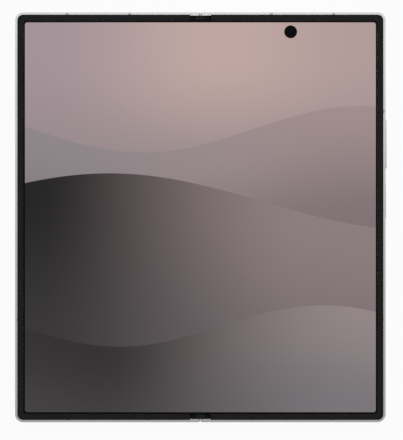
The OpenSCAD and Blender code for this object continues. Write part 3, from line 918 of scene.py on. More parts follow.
# The guards' dark top is their own black; the metal below it is plain aluminium.
GUARD = SpineMetal("guard_black_over_metal", ALUMINIUM, srgb(33, 34, 35), black_and_shade_r=-1.0, black_and_shade_z=4.82)
WIRE = Moulded("speaker_wire", srgb(46, 46, 48), roughness=0.45, grain=0.2)
GOLD = Brushed("contact_gold", (0.83, 0.62, 0.27), lines=(1.0, 0.1, 1.0), roughness=0.25)
TIN = Brushed("board_part_tin", (0.34, 0.31, 0.27), lines=(1.0, 0.3, 1.0), roughness=0.4)
PEARL = FrostedGlass("rear_glass_pearl", (0.72, 0.73, 0.75))
STEEL = Brushed("hinge_steel", (0.52, 0.53, 0.55))
WOUND = Brushed("spring_wire", (0.56, 0.57, 0.59), lines=(1.0, 0.2, 1.0), roughness=0.24)
SCREW = Brushed("screw_steel", (0.46, 0.46, 0.47), lines=(1.0, 1.0, 1.0), roughness=0.25)
SHIELD = Brushed("shield_can", (0.62, 0.62, 0.63), lines=(0.3, 1.0, 1.0), roughness=0.3)
BRASS = Brushed("slider_brass", (0.72, 0.56, 0.28), lines=(1.0, 0.08, 1.0), roughness=0.28)
WRAP = Moulded("battery_wrap", srgb(40, 41, 43), roughness=0.35, grain=0.6, specular=0.5)
MODULE = Moulded("module_black", srgb(26, 27, 29), roughness=0.5, grain=0.25)
SWITCH = Moulded("switch_black", srgb(30, 30, 32), roughness=0.45, grain=0.2)
PANEL = Moulded("display_panel", srgb(16, 17, 20), roughness=0.2, grain=0.4)
MASK = CircuitBoard("board_green", (0.012, 0.085, 0.045))
FLEX = CircuitBoard("flex_film", (0.36, 0.13, 0.015))
COPPER = WoundCopper("coil_copper", (0.66, 0.30, 0.15))


class Finishes:
    """Materials made so far, one for each finish."""

    def __init__(self) -> None:
        """Starts with none."""
        self._made: dict[str, bpy.types.Material] = {}

    def get(self, finish: Any) -> bpy.types.Material:
        """Looks up a finish, which is made the first time it is asked for.

        Args:
            finish: Any of the finishes above.

        Returns:
            Its material.
        """
        if finish.name not in self._made:
            self._made[finish.name] = finish.make()
        return self._made[finish.name]


FINISHES = Finishes()


# ---------------------------------------------------------------- meshes


def dress(piece: bpy.types.Object, finish: Any) -> None:
    """Gives a piece one finish all over."""
    piece.data.materials.clear()
    piece.data.materials.append(FINISHES.get(finish))


def new_object(name: str, data: bpy.types.ID) -> bpy.types.Object:
    """Adds an object to the scene.

    Args:
        name: Name of the new object.
        data: Its mesh, lamp or camera.

    Returns:
        The object.
    """
    made = bpy.data.objects.new(name, data)
    bpy.context.scene.collection.objects.link(made)
    return made


def from_bmesh(name: str, build: bmesh.types.BMesh) -> bpy.types.Object:
    """Turns a bmesh into an object.

    Args:
        name: Name of the new object.
        build: Mesh in metres, which is freed.

    Returns:
        The object.
    """
    mesh = bpy.data.meshes.new(name)
    build.to_mesh(mesh)
    build.free()
    return new_object(name, mesh)


def welded(node: bpy.types.Object) -> bmesh.types.BMesh:
    """Joins a node's loose triangles at their corners.

    Args:
        node: CAD node, which stays as it is.

    Returns:
        A copy of its mesh, in metres.
    """
    build = bmesh.new()
    build.from_mesh(node.data)
    bmesh.ops.remove_doubles(build, verts=build.verts, dist=WELD * MM)
    return build


def shade(piece: bpy.types.Object, angle: float = 32.0) -> None:
    """Shades a mesh smooth except across its sharp edges.

    Args:
        piece: Piece to be shaded.
        angle: Turn at an edge from which it is sharp, in degrees.
    """
    mesh = piece.data
    mesh.polygons.foreach_set("use_smooth", [True] * len(mesh.polygons))
    build = bmesh.new()
    build.from_mesh(mesh)
    for edge in build.edges:
        sharp = len(edge.link_faces) != 2 or edge.calc_face_angle(0.0) > math.radians(angle)
        edge.smooth = not sharp
    build.to_mesh(mesh)
    build.free()


def baked(piece: bpy.types.Object) -> None:
    """Replaces a piece's mesh by the result of its modifiers, and removes them.

    Args:
        piece: Piece with live modifiers.
    """
    graph = bpy.context.evaluated_depsgraph_get()
    mesh = bpy.data.meshes.new_from_object(piece.evaluated_get(graph), depsgraph=graph)
    piece.modifiers.clear()
    piece.data = mesh


@dataclass(frozen=True)
class Arc:
    """Round edge seen from the front: middle, radius, and whether all four corners have it."""

    x: float
    y: float
    radius: float
    corners: bool = True

    def middles(self) -> list[tuple[float, float]]:
        """Returns the middles of the arc and of its mirror images."""
        signs = [(1, 1), (1, -1), (-1, 1), (-1, -1)] if self.corners else [(1, 1)]
        return [(self.x * a, self.y * b) for a, b in signs]


def corner(inset: float, radius: float) -> Arc:
    """Returns the arcs in the phone's corners of an outline that far inside its outer one."""
    return Arc(HALF_W - inset - radius, HALF_L - inset - radius, radius)


CORNERS = (
    corner(0.0, CORNER_R),
    corner(RIM_W, RIM_R),
    corner(RIM_W + GLASS_IN, RIM_R),
    corner(RIM_W + GLASS_IN + FIT_GAP, RIM_R),
    Arc(FOLD_GAP / 2 + NOTCH_R, HALF_L - NOTCH_R, NOTCH_R),
)


@dataclass(frozen=True)
class ChordSearch:
    """Which edges count as chords of an arc, and how far their new points may be moved."""

    level: float = 0.001
    shortest: float = 0.1
    longest: float = 0.6
    miss: float = 0.012
    stretch: float = 0.05


def refine(build: bmesh.types.BMesh, arcs: Iterable[Arc], cuts: int = 3,
           search: ChordSearch = ChordSearch()) -> None:
    """Splits the chords of round edges and moves the new points onto the true arc.

    Args:
        build: Mesh in metres.
        arcs: Arcs to look for.
        cuts: New points on each chord.
        search: Limits in millimetres, but longest and stretch are shares of the arc's radius.
    """
    for arc in arcs:
        for cx, cy in arc.middles():
            def gap(vert: bmesh.types.BMVert) -> float:
                """Returns how far a point lies from the arc, in millimetres."""
                return abs(math.hypot(vert.co.x / MM - cx, vert.co.y / MM - cy) - arc.radius)

            chords = [e for e in build.edges
                      if abs(e.verts[0].co.z - e.verts[1].co.z) < search.level * MM
                      and search.shortest * MM < e.calc_length() < search.longest * arc.radius * MM
                      and max(gap(e.verts[0]), gap(e.verts[1])) < search.miss]
            if not chords:
                continue
            made = bmesh.ops.subdivide_edges(build, edges=chords, cuts=cuts)
            for vert in {v for v in made["geom_inner"] if isinstance(v, bmesh.types.BMVert)}:
                dx, dy = vert.co.x / MM - cx, vert.co.y / MM - cy
                share = arc.radius / max(1e-9, math.hypot(dx, dy))
                if abs(share - 1) < search.stretch:
                    vert.co.x, vert.co.y = (cx + dx * share) * MM, (cy + dy * share) * MM


class Rounding(Enum):
    """Which sharp edges of a part are rounded."""

    ALL = "all"
    ALONG_RIM = "along the rim only, so that a break is flush with the frame"
    NOT_AT_BREAKS = "all but those in the planes where a break meets the frame"


@dataclass(frozen=True)
class Breaks:
    """Places of the plastic breaks in the rim, and how near an edge counts as on them."""

    across: tuple[float, ...] = (27.4, 51.5, 20.2, 51.0)
    along: tuple[float, ...] = (39.7, 40.9)
    half: float = 0.6
    rim_x: float = 70.7
    rim_y: float = 78.3
    slack: float = 0.05
    level: float = 0.01
    miss: float = 0.02
    corner: float = 2.0
    straight: float = 0.95

    def meets(self, one: Vector, two: Vector) -> bool:
        """Tells whether an edge lies in a plane where a break meets the frame.

        Args:
            one: One end of the edge, in metres.
            two: The other end.

        Returns:
            Whether it does.
        """
        for axis, places, rim, other in ((0, self.across, self.rim_y, 1), (1, self.along, self.rim_x, 0)):
            if min(abs(one[other]), abs(two[other])) < (rim - self.slack) * MM:
                continue
            a, b = abs(one[axis]) / MM, abs(two[axis]) / MM
            near = any(abs(abs(a - place) - self.half) < self.miss for place in places)
            if near and abs(a - b) < self.level:
                return True
        return False

    def along_rim(self, one: Vector, two: Vector) -> bool:
        """Tells whether an edge of a break runs along its side of the rim.

        Args:
            one: One end of the edge, in metres.
            two: The other end.

        Returns:
            Whether it does.
        """
        step = two - one
        side = abs(one.x) / MM > self.rim_x - self.slack and abs(one.y) / MM < self.rim_y - self.corner
        return abs(step.y if side else step.x) > self.straight * step.length


def wants_rounding(edge: bmesh.types.BMEdge, rounding: Rounding) -> bool:
    """Tells whether an edge is to be rounded.

    Args:
        edge: Edge of a welded node.
        rounding: Which of the part's sharp edges are rounded.

    Returns:
        Whether it is.
    """
    if len(edge.link_faces) != 2 or edge.calc_face_angle(0.0) < math.radians(SHARP_ANGLE):
        return False
    one, two = (vert.co for vert in edge.verts)
    if rounding is Rounding.ALONG_RIM:
        return Breaks().along_rim(one, two)
    return rounding is Rounding.ALL or not Breaks().meets(one, two)


def softened(frame: dict[str, Any], node: str, width: float, segments: int = 3,
             arcs: Iterable[Arc] = CORNERS, rounding: Rounding = Rounding.ALL) -> bpy.types.Object:
    """Copies a node's shape, makes its round edges finer and rounds its sharp edges.

    Args:
        frame: The loaded frame.
        node: Name of the node.
        width: Width of the rounding in millimetres.
        segments: Steps across the rounding.
        arcs: Round edges to be made finer.
        rounding: Which sharp edges are rounded.

    Returns:
        The new piece.
    """
    build = welded(frame["nodes"][node])
    bmesh.ops.dissolve_limit(build, angle_limit=math.radians(FLAT_ANGLE), verts=build.verts,
                             edges=build.edges)
    refine(build, arcs)
    weight = build.edges.layers.float.new("bevel_weight_edge")
    for edge in build.edges:
        edge[weight] = 1.0 if wants_rounding(edge, rounding) else 0.0
    piece = from_bmesh(f"{node}_body", build)
    shade(piece)
    bevel = piece.modifiers.new("rounding", "BEVEL")
    bevel.width = width * MM
    bevel.segments = segments
    bevel.limit_method = "WEIGHT"
    bevel.use_clamp_overlap = True
    bevel.harden_normals = True
    baked(piece)
    return piece


def lathe(name: str, profile: Sequence[tuple[float, float]],
          middles: Iterable[tuple[float, float]], steps: int = 64) -> bpy.types.Object:
    """Turns a profile about vertical axes.

    Args:
        name: Name of the new piece.
        profile: Radius and height pairs in millimetres, from the rim to the middle and back.
        middles: Axes.
        steps: Points round each turn.

    Returns:
        The piece.
    """
    build = bmesh.new()
    for cx, cy in middles:
        rings: list[list[bmesh.types.BMVert]] = []
        for radius, z in profile:
            if radius == 0:
                rings.append([build.verts.new((cx * MM, cy * MM, z * MM))] * steps)
                continue
            turn = [math.tau * i / steps for i in range(steps)]
            rings.append([build.verts.new(((cx + radius * math.cos(a)) * MM,
                                           (cy + radius * math.sin(a)) * MM, z * MM)) for a in turn])
        for one, two in zip(rings, rings[1:] + rings[:1]):
            for i in range(steps):
                k = (i + 1) % steps
                loop = list(dict.fromkeys((one[i], one[k], two[k], two[i])))
                if len(loop) > 2:
                    build.faces.new(loop)
    bmesh.ops.recalc_face_normals(build, faces=build.faces)
    piece = from_bmesh(name, build)
    shade(piece, angle=35.0)
    return piece


def band(name: str, rows: Sequence[Sequence[Point]]) -> bpy.types.Object:
    """Joins rings of points into a closed band.

    Args:
        name: Name of the new piece.
        rows: Rings with the same number of points, in millimetres.

    Returns:
        The piece.
    """
    build = bmesh.new()
    rings = [[build.verts.new(tuple(c * MM for c in point)) for point in row] for row in rows]
    for near, far in zip(rings, rings[1:]):
        for k in range(len(near)):
            after = (k + 1) % len(near)
            build.faces.new((near[k], far[k], far[after], near[after]))
    build.faces.new(rings[0])
    build.faces.new(rings[-1])
    bmesh.ops.recalc_face_normals(build, faces=build.faces)
    piece = from_bmesh(name, build)
    shade(piece, angle=40.0)
    return piece


def fit(piece: bpy.types.Object, body: Body, slot: str, *nodes: str) -> None:
    """Rides a piece on a body.

    Args:
        piece: The finished piece.
        body: Body that it moves with.
        slot: Its material slot; not used.
        nodes: Nodes that it stands for, if any.
    """
    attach(piece, body.value)
    if nodes:
        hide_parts(*nodes)
    LOG.info("%s rides on %s", piece.name, body.value)


def bend(piece: bpy.types.Object, near: Body, far: Body, start: Point, end: Point,
         node: str) -> None:
    """Blends a piece across a joint.

    Args:
        piece: The finished piece.
        near: Body on one side of the joint, named only in the log.
        far: Body on the other side of the joint, named only in the log.
        start: Where the blend starts, in millimetres; not used.
        end: Where the blend ends, in millimetres; not used.
        node: Node that it stands for.
    """
    tuple(c * MM for c in start)
    tuple(c * MM for c in end)
    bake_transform(piece)
    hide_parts(node)
    LOG.info("%s bends between %s and %s", piece.name, near.value, far.value)


def box(node: str) -> tuple[Point, Point]:
    """Returns the low and high corners of a node's box, in millimetres."""
    low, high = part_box(node)
    return tuple(v / MM for v in low), tuple(v / MM for v in high)


def middle(low: Point, high: Point) -> Point:
    """Returns the middle of a box."""
    return tuple((a + b) / 2 for a, b in zip(low, high))


class Shape(Wiring):
    """Geometry Nodes tree that repeats a small part, with named inputs."""

    def __init__(self, name: str) -> None:
        """Makes an empty tree that takes and gives one geometry.

        Args:
            name: The tree's name.
        """
        self.group = bpy.data.node_groups.new(name, "GeometryNodeTree")
        self.group.is_modifier = True
        super().__init__(self.group)
        self._add("Geometry", "INPUT", "NodeSocketGeometry")
        self._add("Geometry", "OUTPUT", "NodeSocketGeometry")
        self.start = self.tree.nodes.new("NodeGroupInput")
        self.end = self.tree.nodes.new("NodeGroupOutput")
        self.given: dict[str, str] = {}

    def _add(self, name: str, side: str, kind: str) -> Any:
        """Adds a socket to the tree's interface."""
        return self.group.interface.new_socket(name=name, in_out=side, socket_type=kind)

    def size(self, name: str) -> Num:
        """Adds a named length and returns it."""
        self.given[name] = self._add(name, "INPUT", "NodeSocketFloat").identifier
        return Num(self, self.start.outputs[name])

    def count(self, name: str) -> Any:
        """Adds a named whole number and returns its socket."""
        self.given[name] = self._add(name, "INPUT", "NodeSocketInt").identifier
        return self.start.outputs[name]

    def points(self) -> Any:
        """Returns the geometry that the tree is given."""
        return self.start.outputs["Geometry"]

    def pad(self, taper: float = 0.86, straight: float = 0.7) -> Any:
        """Returns a small block with the tree's Width, Length and Height.

        Args:
            taper: Size of its top as a share of its foot.
            straight: Share of its height with upright sides.

        Returns:
            A geometry socket.
        """
        grid = self.node("GeometryNodeMeshGrid", {}, {
            "Size X": self.size("Width"), "Size Y": self.size("Length"), "Vertices X": 2, "Vertices Y": 2})
        height = self.size("Height")
        low = self.raised(grid.outputs["Mesh"], None, height * straight)
        top = self.raised(low.outputs["Mesh"], low.outputs["Top"], height * (1 - straight))
        return self.scaled(top, taper)

    def thread(self, path: Any, steps: int, capped: bool = True) -> Any:
        """Returns round wire along a curve, with the tree's Wire as its radius.

        Args:
            path: Curve socket.
            steps: Points round the wire.
            capped: Whether its ends are closed.

        Returns:
            A geometry socket.
        """
        circle = self.node("GeometryNodeCurvePrimitiveCircle", {}, {
            "Resolution": steps, "Radius": self.size("Wire")})
        return self.node("GeometryNodeCurveToMesh", {}, {
            "Curve": path, "Profile Curve": circle.outputs[0], "Fill Caps": capped}).outputs[0]

    def turned(self, geometry: Any, angle: float) -> Any:
        """Returns a geometry turned about X by an angle in radians."""
        inputs = {"Geometry": geometry, "Rotation": (angle, 0.0, 0.0)}
        return self.node("GeometryNodeTransform", {}, inputs).outputs[0]

    def raised(self, mesh: Any, faces: Any, height: Any) -> Any:
        """Raises faces along Z.

        Args:
            mesh: Mesh socket.
            faces: Selection of the faces, or None for all.
            height: Height of the step.

        Returns:
            The extrusion's node.
        """
        inputs = {"Mesh": mesh, "Offset": (0.0, 0.0, 1.0), "Offset Scale": height}
        if faces is not None:
            inputs["Selection"] = faces
        return self.node("GeometryNodeExtrudeMesh", {"mode": "FACES"}, inputs)

    def scaled(self, extrusion: Any, factor: Any) -> Any:
        """Scales the top faces of an extrusion.

        Args:
            extrusion: The extrusion's node.
            factor: Scale of each face about its middle.

        Returns:
            A geometry socket.
        """
        inputs = {"Geometry": extrusion.outputs["Mesh"], "Selection": extrusion.outputs["Top"],
                  "Scale": factor}
        return self.node("GeometryNodeScaleElements", {"domain": "FACE"}, inputs).outputs["Geometry"]

    def repeated(self, points: Any, part: Any, **inputs: Any) -> Any:
        """Returns a part placed on every point."""
        named = {"Points": points, "Instance": part, **{k.title(): v for k, v in inputs.items()}}
        return self.node("GeometryNodeInstanceOnPoints", {}, named).outputs["Instances"]

    def close(self, geometry: Any, finish: Any) -> None:
        """Ends the tree with real meshes in one finish.

        Args:
            geometry: Geometry socket.
            finish: The finish of all of it.
        """
        real = self.node("GeometryNodeRealizeInstances", {}, {"Geometry": geometry})
        dressed = self.node("GeometryNodeSetMaterial", {}, {"Geometry": real.outputs["Geometry"],
                                                            "Material": FINISHES.get(finish)})
        self.tree.links.new(dressed.outputs["Geometry"], self.end.inputs["Geometry"])

    def run(self, name: str, places: Sequence[Point], values: dict[str, Any]) -> bpy.types.Object:
        """Runs the tree on points.

        Args:
            name: Name of the new piece.
            places: Points in millimetres.
            values: The tree's inputs by name; lengths in millimetres, counts as they are.

        Returns:
            The piece as a plain mesh.
        """
        mesh = bpy.data.meshes.new(name)
        mesh.from_pydata([tuple(c * MM for c in place) for place in places], [], [])
        piece = new_object(name, mesh)
        self.cover(piece, values)
        return piece

    def cover(self, piece: bpy.types.Object, values: dict[str, Any]) -> None:
        """Runs the tree on a piece's mesh and keeps the result.

        Args:
            piece: Piece whose mesh the tree is given.
            values: Values for the tree's inputs by name, as for run; others are left out.
        """
        step = piece.modifiers.new("repeat", "NODES")
        step.node_group = self.group
        for key, identifier in self.given.items():
            value = values[key]
            step[identifier] = value if isinstance(value, int) else value * MM
        baked(piece)


def sites(node: bpy.types.Object) -> list[tuple[Point, Point]]:
    """Finds the separate solids of a CAD node.

    Args:
        node: CAD node.

    Returns:
        The low and high corners of each, in millimetres, in order.
    """
    build = welded(node)
    left = set(build.verts)
    found = []
    while left:
        front = [left.pop()]
        group = list(front)
        while front:
            vert = front.pop()
            near = {link.other_vert(vert) for link in vert.link_edges} & left
            left -= near
            front += near
            group += near
        low = tuple(min(v.co[i] for v in group) / MM for i in range(3))
        high = tuple(max(v.co[i] for v in group) / MM for i in range(3))
        found.append((low, high))
    build.free()
    return sorted(found)


# ---------------------------------------------------------------- sub-assemblies


@dataclass
class Screen:
    """Folding inner screen: two flat sides and two strips that lie over the fold."""

    top: float = 6.05
    bottom: float = 5.4
    seam: float = 9.5
    pivot: float = 1.2
    edge_y: float = 76.05
    active_x: float = 67.8
    active_y: float = 75.32
    camera: tuple[float, float] = INNER_CAMERA
    camera_r: float = 2.425
    dip: float = 0.035
    dip_half: float = 5.0
    relief: float = 0.4
    relief_x: tuple[float, float] = (0.35, 3.0)
    undercut: float = 0.05
    steps: int = 76

    def finish(self) -> LitScreen:
        """Returns the lit finish."""
        return LitScreen("lit_screen", self.active_x, self.active_y, self.camera, self.camera_r)

    def height(self, x: float) -> float:
        """Returns the surface height at a distance from the fold line, with its shallow crease."""
        share = min(1.0, abs(x) / self.dip_half)
        return self.top - self.dip * 0.5 * (1 + math.cos(math.pi * share))

    def underside(self, x: float) -> float:
        """Works out the underside's height, hollowed where the closed fold passes the hinge blocks.

        Args:
            x: Distance from the fold line.

        Returns:
            The height.
        """
        start, end = self.relief_x
        share = min(1.0, max(0.0, (abs(x) - start) / (end - start)))
        return self.bottom + self.relief * 0.5 * (1 - math.cos(math.tau * share))

    def strip(self, side: int) -> bpy.types.Object:
        """Returns the strip on one side of the fold line, as a closed slab.

        Args:
            side: -1 for the cover half, 1 for the main half.

        Returns:
            The strip.
        """
        rows = []
        for i in range(self.steps + 1):
            x = side * self.seam * i / self.steps
            top, low, end = self.height(x), self.underside(x), self.edge_y
            foot = x - side * self.undercut if i == self.steps else x
            rows.append([(x, -end, top), (x, end, top), (foot, end, low), (foot, -end, low)])
        return band("screen_fold_main" if side > 0 else "screen_fold_cover", rows)

    def build(self, frame: dict[str, Any]) -> None:
        """Makes the strips and lights the whole screen.

        Args:
            frame: The loaded frame.
        """
        level = (self.top + self.bottom) / 2
        for side, wing in ((-1, Body.COVER_WING), (1, Body.MAIN_WING)):
            piece = self.strip(side)
            dress(piece, self.finish())
            bend(piece, wing, Body.SUPPORT, (side * 2 * self.pivot, 0, level), (0, 0, level),
                 "screen_fold")
        for node in ("screen_cover_side", "screen_main_side"):
            dress(frame["nodes"][node], self.finish())
        LOG.info("screen lit")


@dataclass(frozen=True)
class SoftPart:
    """A node whose own shape is kept but gets rounded edges and a finish."""

    node: str
    body: Body
    slot: str
    finish: Any
    width: float
    rounding: Rounding = Rounding.ALL
    segments: int = 3
    arcs: tuple[Arc, ...] = CORNERS

    def build(self, frame: dict[str, Any]) -> None:
        """Rounds and dresses the node and rides it on its body.

        Args:
            frame: The loaded frame.
        """
        piece = softened(frame, self.node, self.width, self.segments, self.arcs, self.rounding)
        dress(piece, self.finish)
        fit(piece, self.body, self.slot, self.node)


@dataclass
class Casing:
    """Metal frames, breaks, bezels, glasses, spine and keys."""

    rim: float = 0.22
    fine: float = 0.1
    hair: float = 0.04
    display: tuple[float, float] = (-37.6, 0.0)
    display_half: tuple[float, float] = (31.2, 76.4)
    cover_camera: tuple[float, float] = (-33.5, 70.6)

    def parts(self) -> list[SoftPart]:
        """Lists the nodes to be rounded.

        Returns:
            One entry for each node.
        """
        cover, main = Body.COVER, Body.MAIN
        glass = CoverGlass("cover_glass_black", self.display, self.display_half, self.cover_camera)
        frame_edges, break_edges = Rounding.NOT_AT_BREAKS, Rounding.ALONG_RIM
        return [
            SoftPart("cover_frame", cover, "frame_metal", SILVER, self.rim, frame_edges),
            SoftPart("main_frame", main, "frame_metal", SILVER, self.rim, frame_edges),
            SoftPart("cover_antenna_breaks", cover, "antenna_plastic", BREAKS, self.rim, break_edges),
            SoftPart("main_antenna_breaks", main, "antenna_plastic", BREAKS, self.rim, break_edges),
            SoftPart("cover_bezel", cover, "bezel_black", BEZEL, self.hair),
            SoftPart("main_bezel", main, "bezel_black", BEZEL, self.hair),
            SoftPart("fold_guards", Body.SPINE, "bezel_black", GUARD, self.fine),
            SoftPart("cover_glass", cover, "cover_glass_black", glass, self.fine),
            SoftPart("rear_glass", main, "rear_glass_silver", PEARL, self.fine),
            SoftPart("spine_cover", Body.SPINE, "frame_metal", SPINE, self.fine),
            SoftPart("volume_key", Body.VOLUME, "frame_metal", SILVER, self.rim),
            SoftPart("power_key", Body.POWER, "frame_metal", SILVER, self.rim),
            SoftPart("sim_tray", Body.TRAY, "frame_metal", SILVER, self.fine),
        ]

    def build(self, frame: dict[str, Any]) -> None:
        """Rounds and dresses each part."""
        for part in self.parts():
            part.build(frame)


@dataclass
class Cameras:
    """Island on the rear glass with three cameras and the flash, and the inner camera's lens.

    A barrel step is a radius and its depth behind the front of the lens, from the rim inwards.
    """

    centre: tuple[float, float] = (59.0, 49.0)
    pitch: float = 15.6
    lens_r: float = 5.85
    lens_front: float = 0.15
    lens_back: float = 0.6
    lens_chamfer: float = 0.03
    barrel: tuple[tuple[float, float], ...] = (
        (5.6, 0.0), (5.1, 0.0), (4.95, 0.05), (4.0, 0.26), (3.9, 0.2), (3.35, 0.19), (3.25, 0.27),
        (2.45, 0.36))
    dome: tuple[float, float] = (2.35, 0.31)
    dome_rise: float = 0.2
    dome_steps: int = 9
    ring_r: float = 6.8
    island_w: float = 16.8
    island_l: float = 49.0
    island_edge: float = 0.35
    ring_edge: float = 0.12
    flash: tuple[float, float] = (46.5, 63.0)
    flash_r: float = 2.6
    flash_edge: float = 0.08
    flash_tone: Colour = (0.80, 0.77, 0.66)
    inner_lens_r: float = 2.4

    def centres(self) -> tuple[tuple[float, float], ...]:
        """Returns the middles of the three lenses."""
        return tuple((self.centre[0], self.centre[1] + i * self.pitch) for i in (-1, 0, 1))

    def lens(self) -> bpy.types.Object:
        """Turns the stepped barrels and domed front glasses of the three cameras.

        Returns:
            The three in one piece.
        """
        front, back = self.lens_front, self.lens_back
        rim = self.lens_r - self.lens_chamfer
        dome_r, dome_depth = self.dome
        steps = [(radius, front + depth) for radius, depth in self.barrel]
        dome = [(dome_r * math.cos(a), front + dome_depth - self.dome_rise * math.sin(a))
                for a in (math.pi / 2 * i / self.dome_steps for i in range(self.dome_steps))]
        top = (0.0, front + dome_depth - self.dome_rise)
        profile = [(rim, back), (rim, front + self.lens_chamfer), *steps, *dome, top, (0.0, back)]
        return lathe("camera_lens_barrels", profile, self.centres())

    def rounds(self) -> tuple[Arc, ...]:
        """Lists the round edges of the rings, the island and the flash.

        Returns:
            The arcs.
        """
        radii = (self.ring_r, self.ring_r + FIT_GAP, self.lens_r)
        half = (self.island_l - self.island_w) / 2
        return (
            *(Arc(x, y, radius, False) for x, y in self.centres() for radius in radii),
            *(Arc(self.centre[0], self.centre[1] + s * half, self.island_w / 2, False) for s in (-1, 1)),
            Arc(*self.flash, self.flash_r, False),
        )

    def build(self, frame: dict[str, Any]) -> None:
        """Rounds and dresses the camera parts.

        Args:
            frame: The loaded frame.
        """
        flash = Ribbed("flash_window", self.flash_tone, self.flash)
        every, rounds = Rounding.ALL, self.rounds()
        for part in (
            SoftPart("camera_island", Body.MAIN, "frame_metal", ISLAND, self.island_edge, every, 4, rounds),
            SoftPart("camera_rings", Body.MAIN, "ring_metal", POLISHED, self.ring_edge, every, 3, rounds),
            SoftPart("flash_led", Body.MAIN, "led_yellow", flash, self.flash_edge, every, 3, rounds),
        ):
            part.build(frame)
        lens = self.lens()
        dress(lens, LensGlass("camera_lens_glass", self.centres(), self.lens_r))
        fit(lens, Body.MAIN, "lens_glass", "camera_lenses")
        inner = LensGlass("inner_lens_glass", (INNER_CAMERA,), self.inner_lens_r, coat=0.0, specular=0.02,
                          rings=srgb(26, 27, 30), core=srgb(14, 17, 34), halo=srgb(19, 14, 24))
        dress(frame["nodes"]["inner_camera"], inner)


@dataclass
class HingeCables:
    """Flat cables that dip into the spine, where they have room to bend as the phone closes."""

    low: float = 3.55
    shelf: float = 0.27
    dips: tuple[tuple[float, float], ...] = ((0.9, 3.3), (4.15, 5.1), (9.4, 10.6))
    turn: tuple[float, float] = (5.0, 0.9)
    steps: int = 96

    def drop(self, x: float, level: float) -> float:
        """Works out how far the cable lies below its level.

        Args:
            x: Distance from the fold line.
            level: Height at which the cable leaves the halves.

        Returns:
            The drop.
        """
        heights = (level - self.low, 0.0, self.shelf, 0.0)
        found = heights[0]
        for (start, end), before, after in zip(self.dips, heights, heights[1:]):
            share = min(1.0, max(0.0, (abs(x) - start) / (end - start)))
            found += (after - before) * 0.5 * (1 - math.cos(math.pi * share))
        return found

    def half(self, name: str, side: int, low: Point, high: Point) -> bpy.types.Object:
        """Returns a cable's half on one side of the fold line.

        Args:
            name: Name of the piece.
            side: -1 for the cover half, 1 for the main half.
            low: Lowest corner of the cable's box.
            high: Highest corner of the cable's box.

        Returns:
            The half as a closed band.
        """
        rows = []
        for i in range(self.steps + 1):
            x = side * high[0] * i / self.steps
            drop = self.drop(x, low[2])
            rows.append([(x, y, z - drop) for y, z in ((low[1], low[2]), (high[1], low[2]),
                                                       (high[1], high[2]), (low[1], high[2]))])
        return band(name, rows)

    def build(self, frame: dict[str, Any]) -> None:
        """Makes both cables, each in a half for either side of the fold.

        Args:
            frame: The loaded frame.
        """
        for number, (low, high) in enumerate(sites(frame["nodes"]["hinge_flex"])):
            for side, body in ((-1, Body.COVER), (1, Body.MAIN)):
                piece = self.half(f"hinge_cable_{number}_{body.name.lower()}", side, low, high)
                dress(piece, FLEX)
                start, end = ((side * x, 0, low[2]) for x in self.turn)
                bend(piece, body, Body.SPINE, start, end, "hinge_flex")


@dataclass
class Springs:
    """Wound springs that the sliders press together as the phone closes."""

    wire: float = 0.09
    turns: float = 9.0
    turn_steps: int = 14
    wire_steps: int = 8

    def tree(self) -> Shape:
        """Builds the tree that puts one spring on every point.

        Returns:
            The tree.
        """
        shape = Shape("wound_spring")
        radius = shape.size("Radius")
        coil = shape.node("GeometryNodeCurveSpiral", {}, {
            "Resolution": self.turn_steps, "Rotations": self.turns, "Start Radius": radius,
            "End Radius": radius, "Height": shape.size("Length")})
        wound = shape.thread(coil.outputs[0], self.wire_steps)
        shape.close(shape.repeated(shape.points(), shape.turned(wound, -math.pi / 2)), WOUND)
        return shape

    def build(self, frame: dict[str, Any]) -> None:
        """Winds the springs of both hinge modules.

        Args:
            frame: The loaded frame.
        """
        shape = self.tree()
        boxes = sites(frame["nodes"]["torque_springs"])
        for name, side in (("upper", 1), ("lower", -1)):
            here = [(low, high) for low, high in boxes if low[1] * side > 0]
            low, high = here[0]
            places = [(middle(a, b)[0], a[1] + self.wire, middle(a, b)[2]) for a, b in here]
            piece = shape.run(f"torque_springs_{name}", places, {
                "Radius": (high[0] - low[0]) / 2 - self.wire, "Length": high[1] - low[1] - 2 * self.wire,
                "Wire": self.wire})
            shade(piece, angle=60.0)
            level = places[0][2]
            bend(piece, Body.SLIDERS, Body.SPINE, (0, low[1], level), (0, high[1], level),
                 "torque_springs")


@dataclass
class Insides:
    """Parts that the casing hides, with their finishes."""

    def finishes(self) -> dict[str, Any]:
        """Lists the finish of each hidden node.

        Returns:
            Finishes by node name.
        """
        return {
            "cover_display": PANEL, "cover_battery": WRAP, "main_battery": WRAP,
            "cover_board": MASK, "main_board": MASK, "charge_board": MASK,
            "cover_board_chips": SHIELD, "main_board_chips": SHIELD, "sim_reader": SHIELD,
            "cover_speaker": MODULE, "main_speaker": MODULE, "cover_selfie_camera": MODULE,
            "camera_modules": MODULE, "vibration_motor": SHIELD, "key_switches": SWITCH,
            "cover_support_plate": STEEL, "main_support_plate": STEEL, "cover_hinge_arms": STEEL,
            "main_hinge_arms": STEEL, "cover_wing": STEEL, "main_wing": STEEL, "fold_support": STEEL,
            "hinge_blocks": STEEL, "sync_sliders": BRASS,
            "cover_magnets": SHIELD, "main_magnets": SHIELD,
        }

    def build(self, frame: dict[str, Any]) -> None:
        """Dresses each hidden node."""
        for node, finish in self.finishes().items():
            dress(frame["nodes"][node], finish)


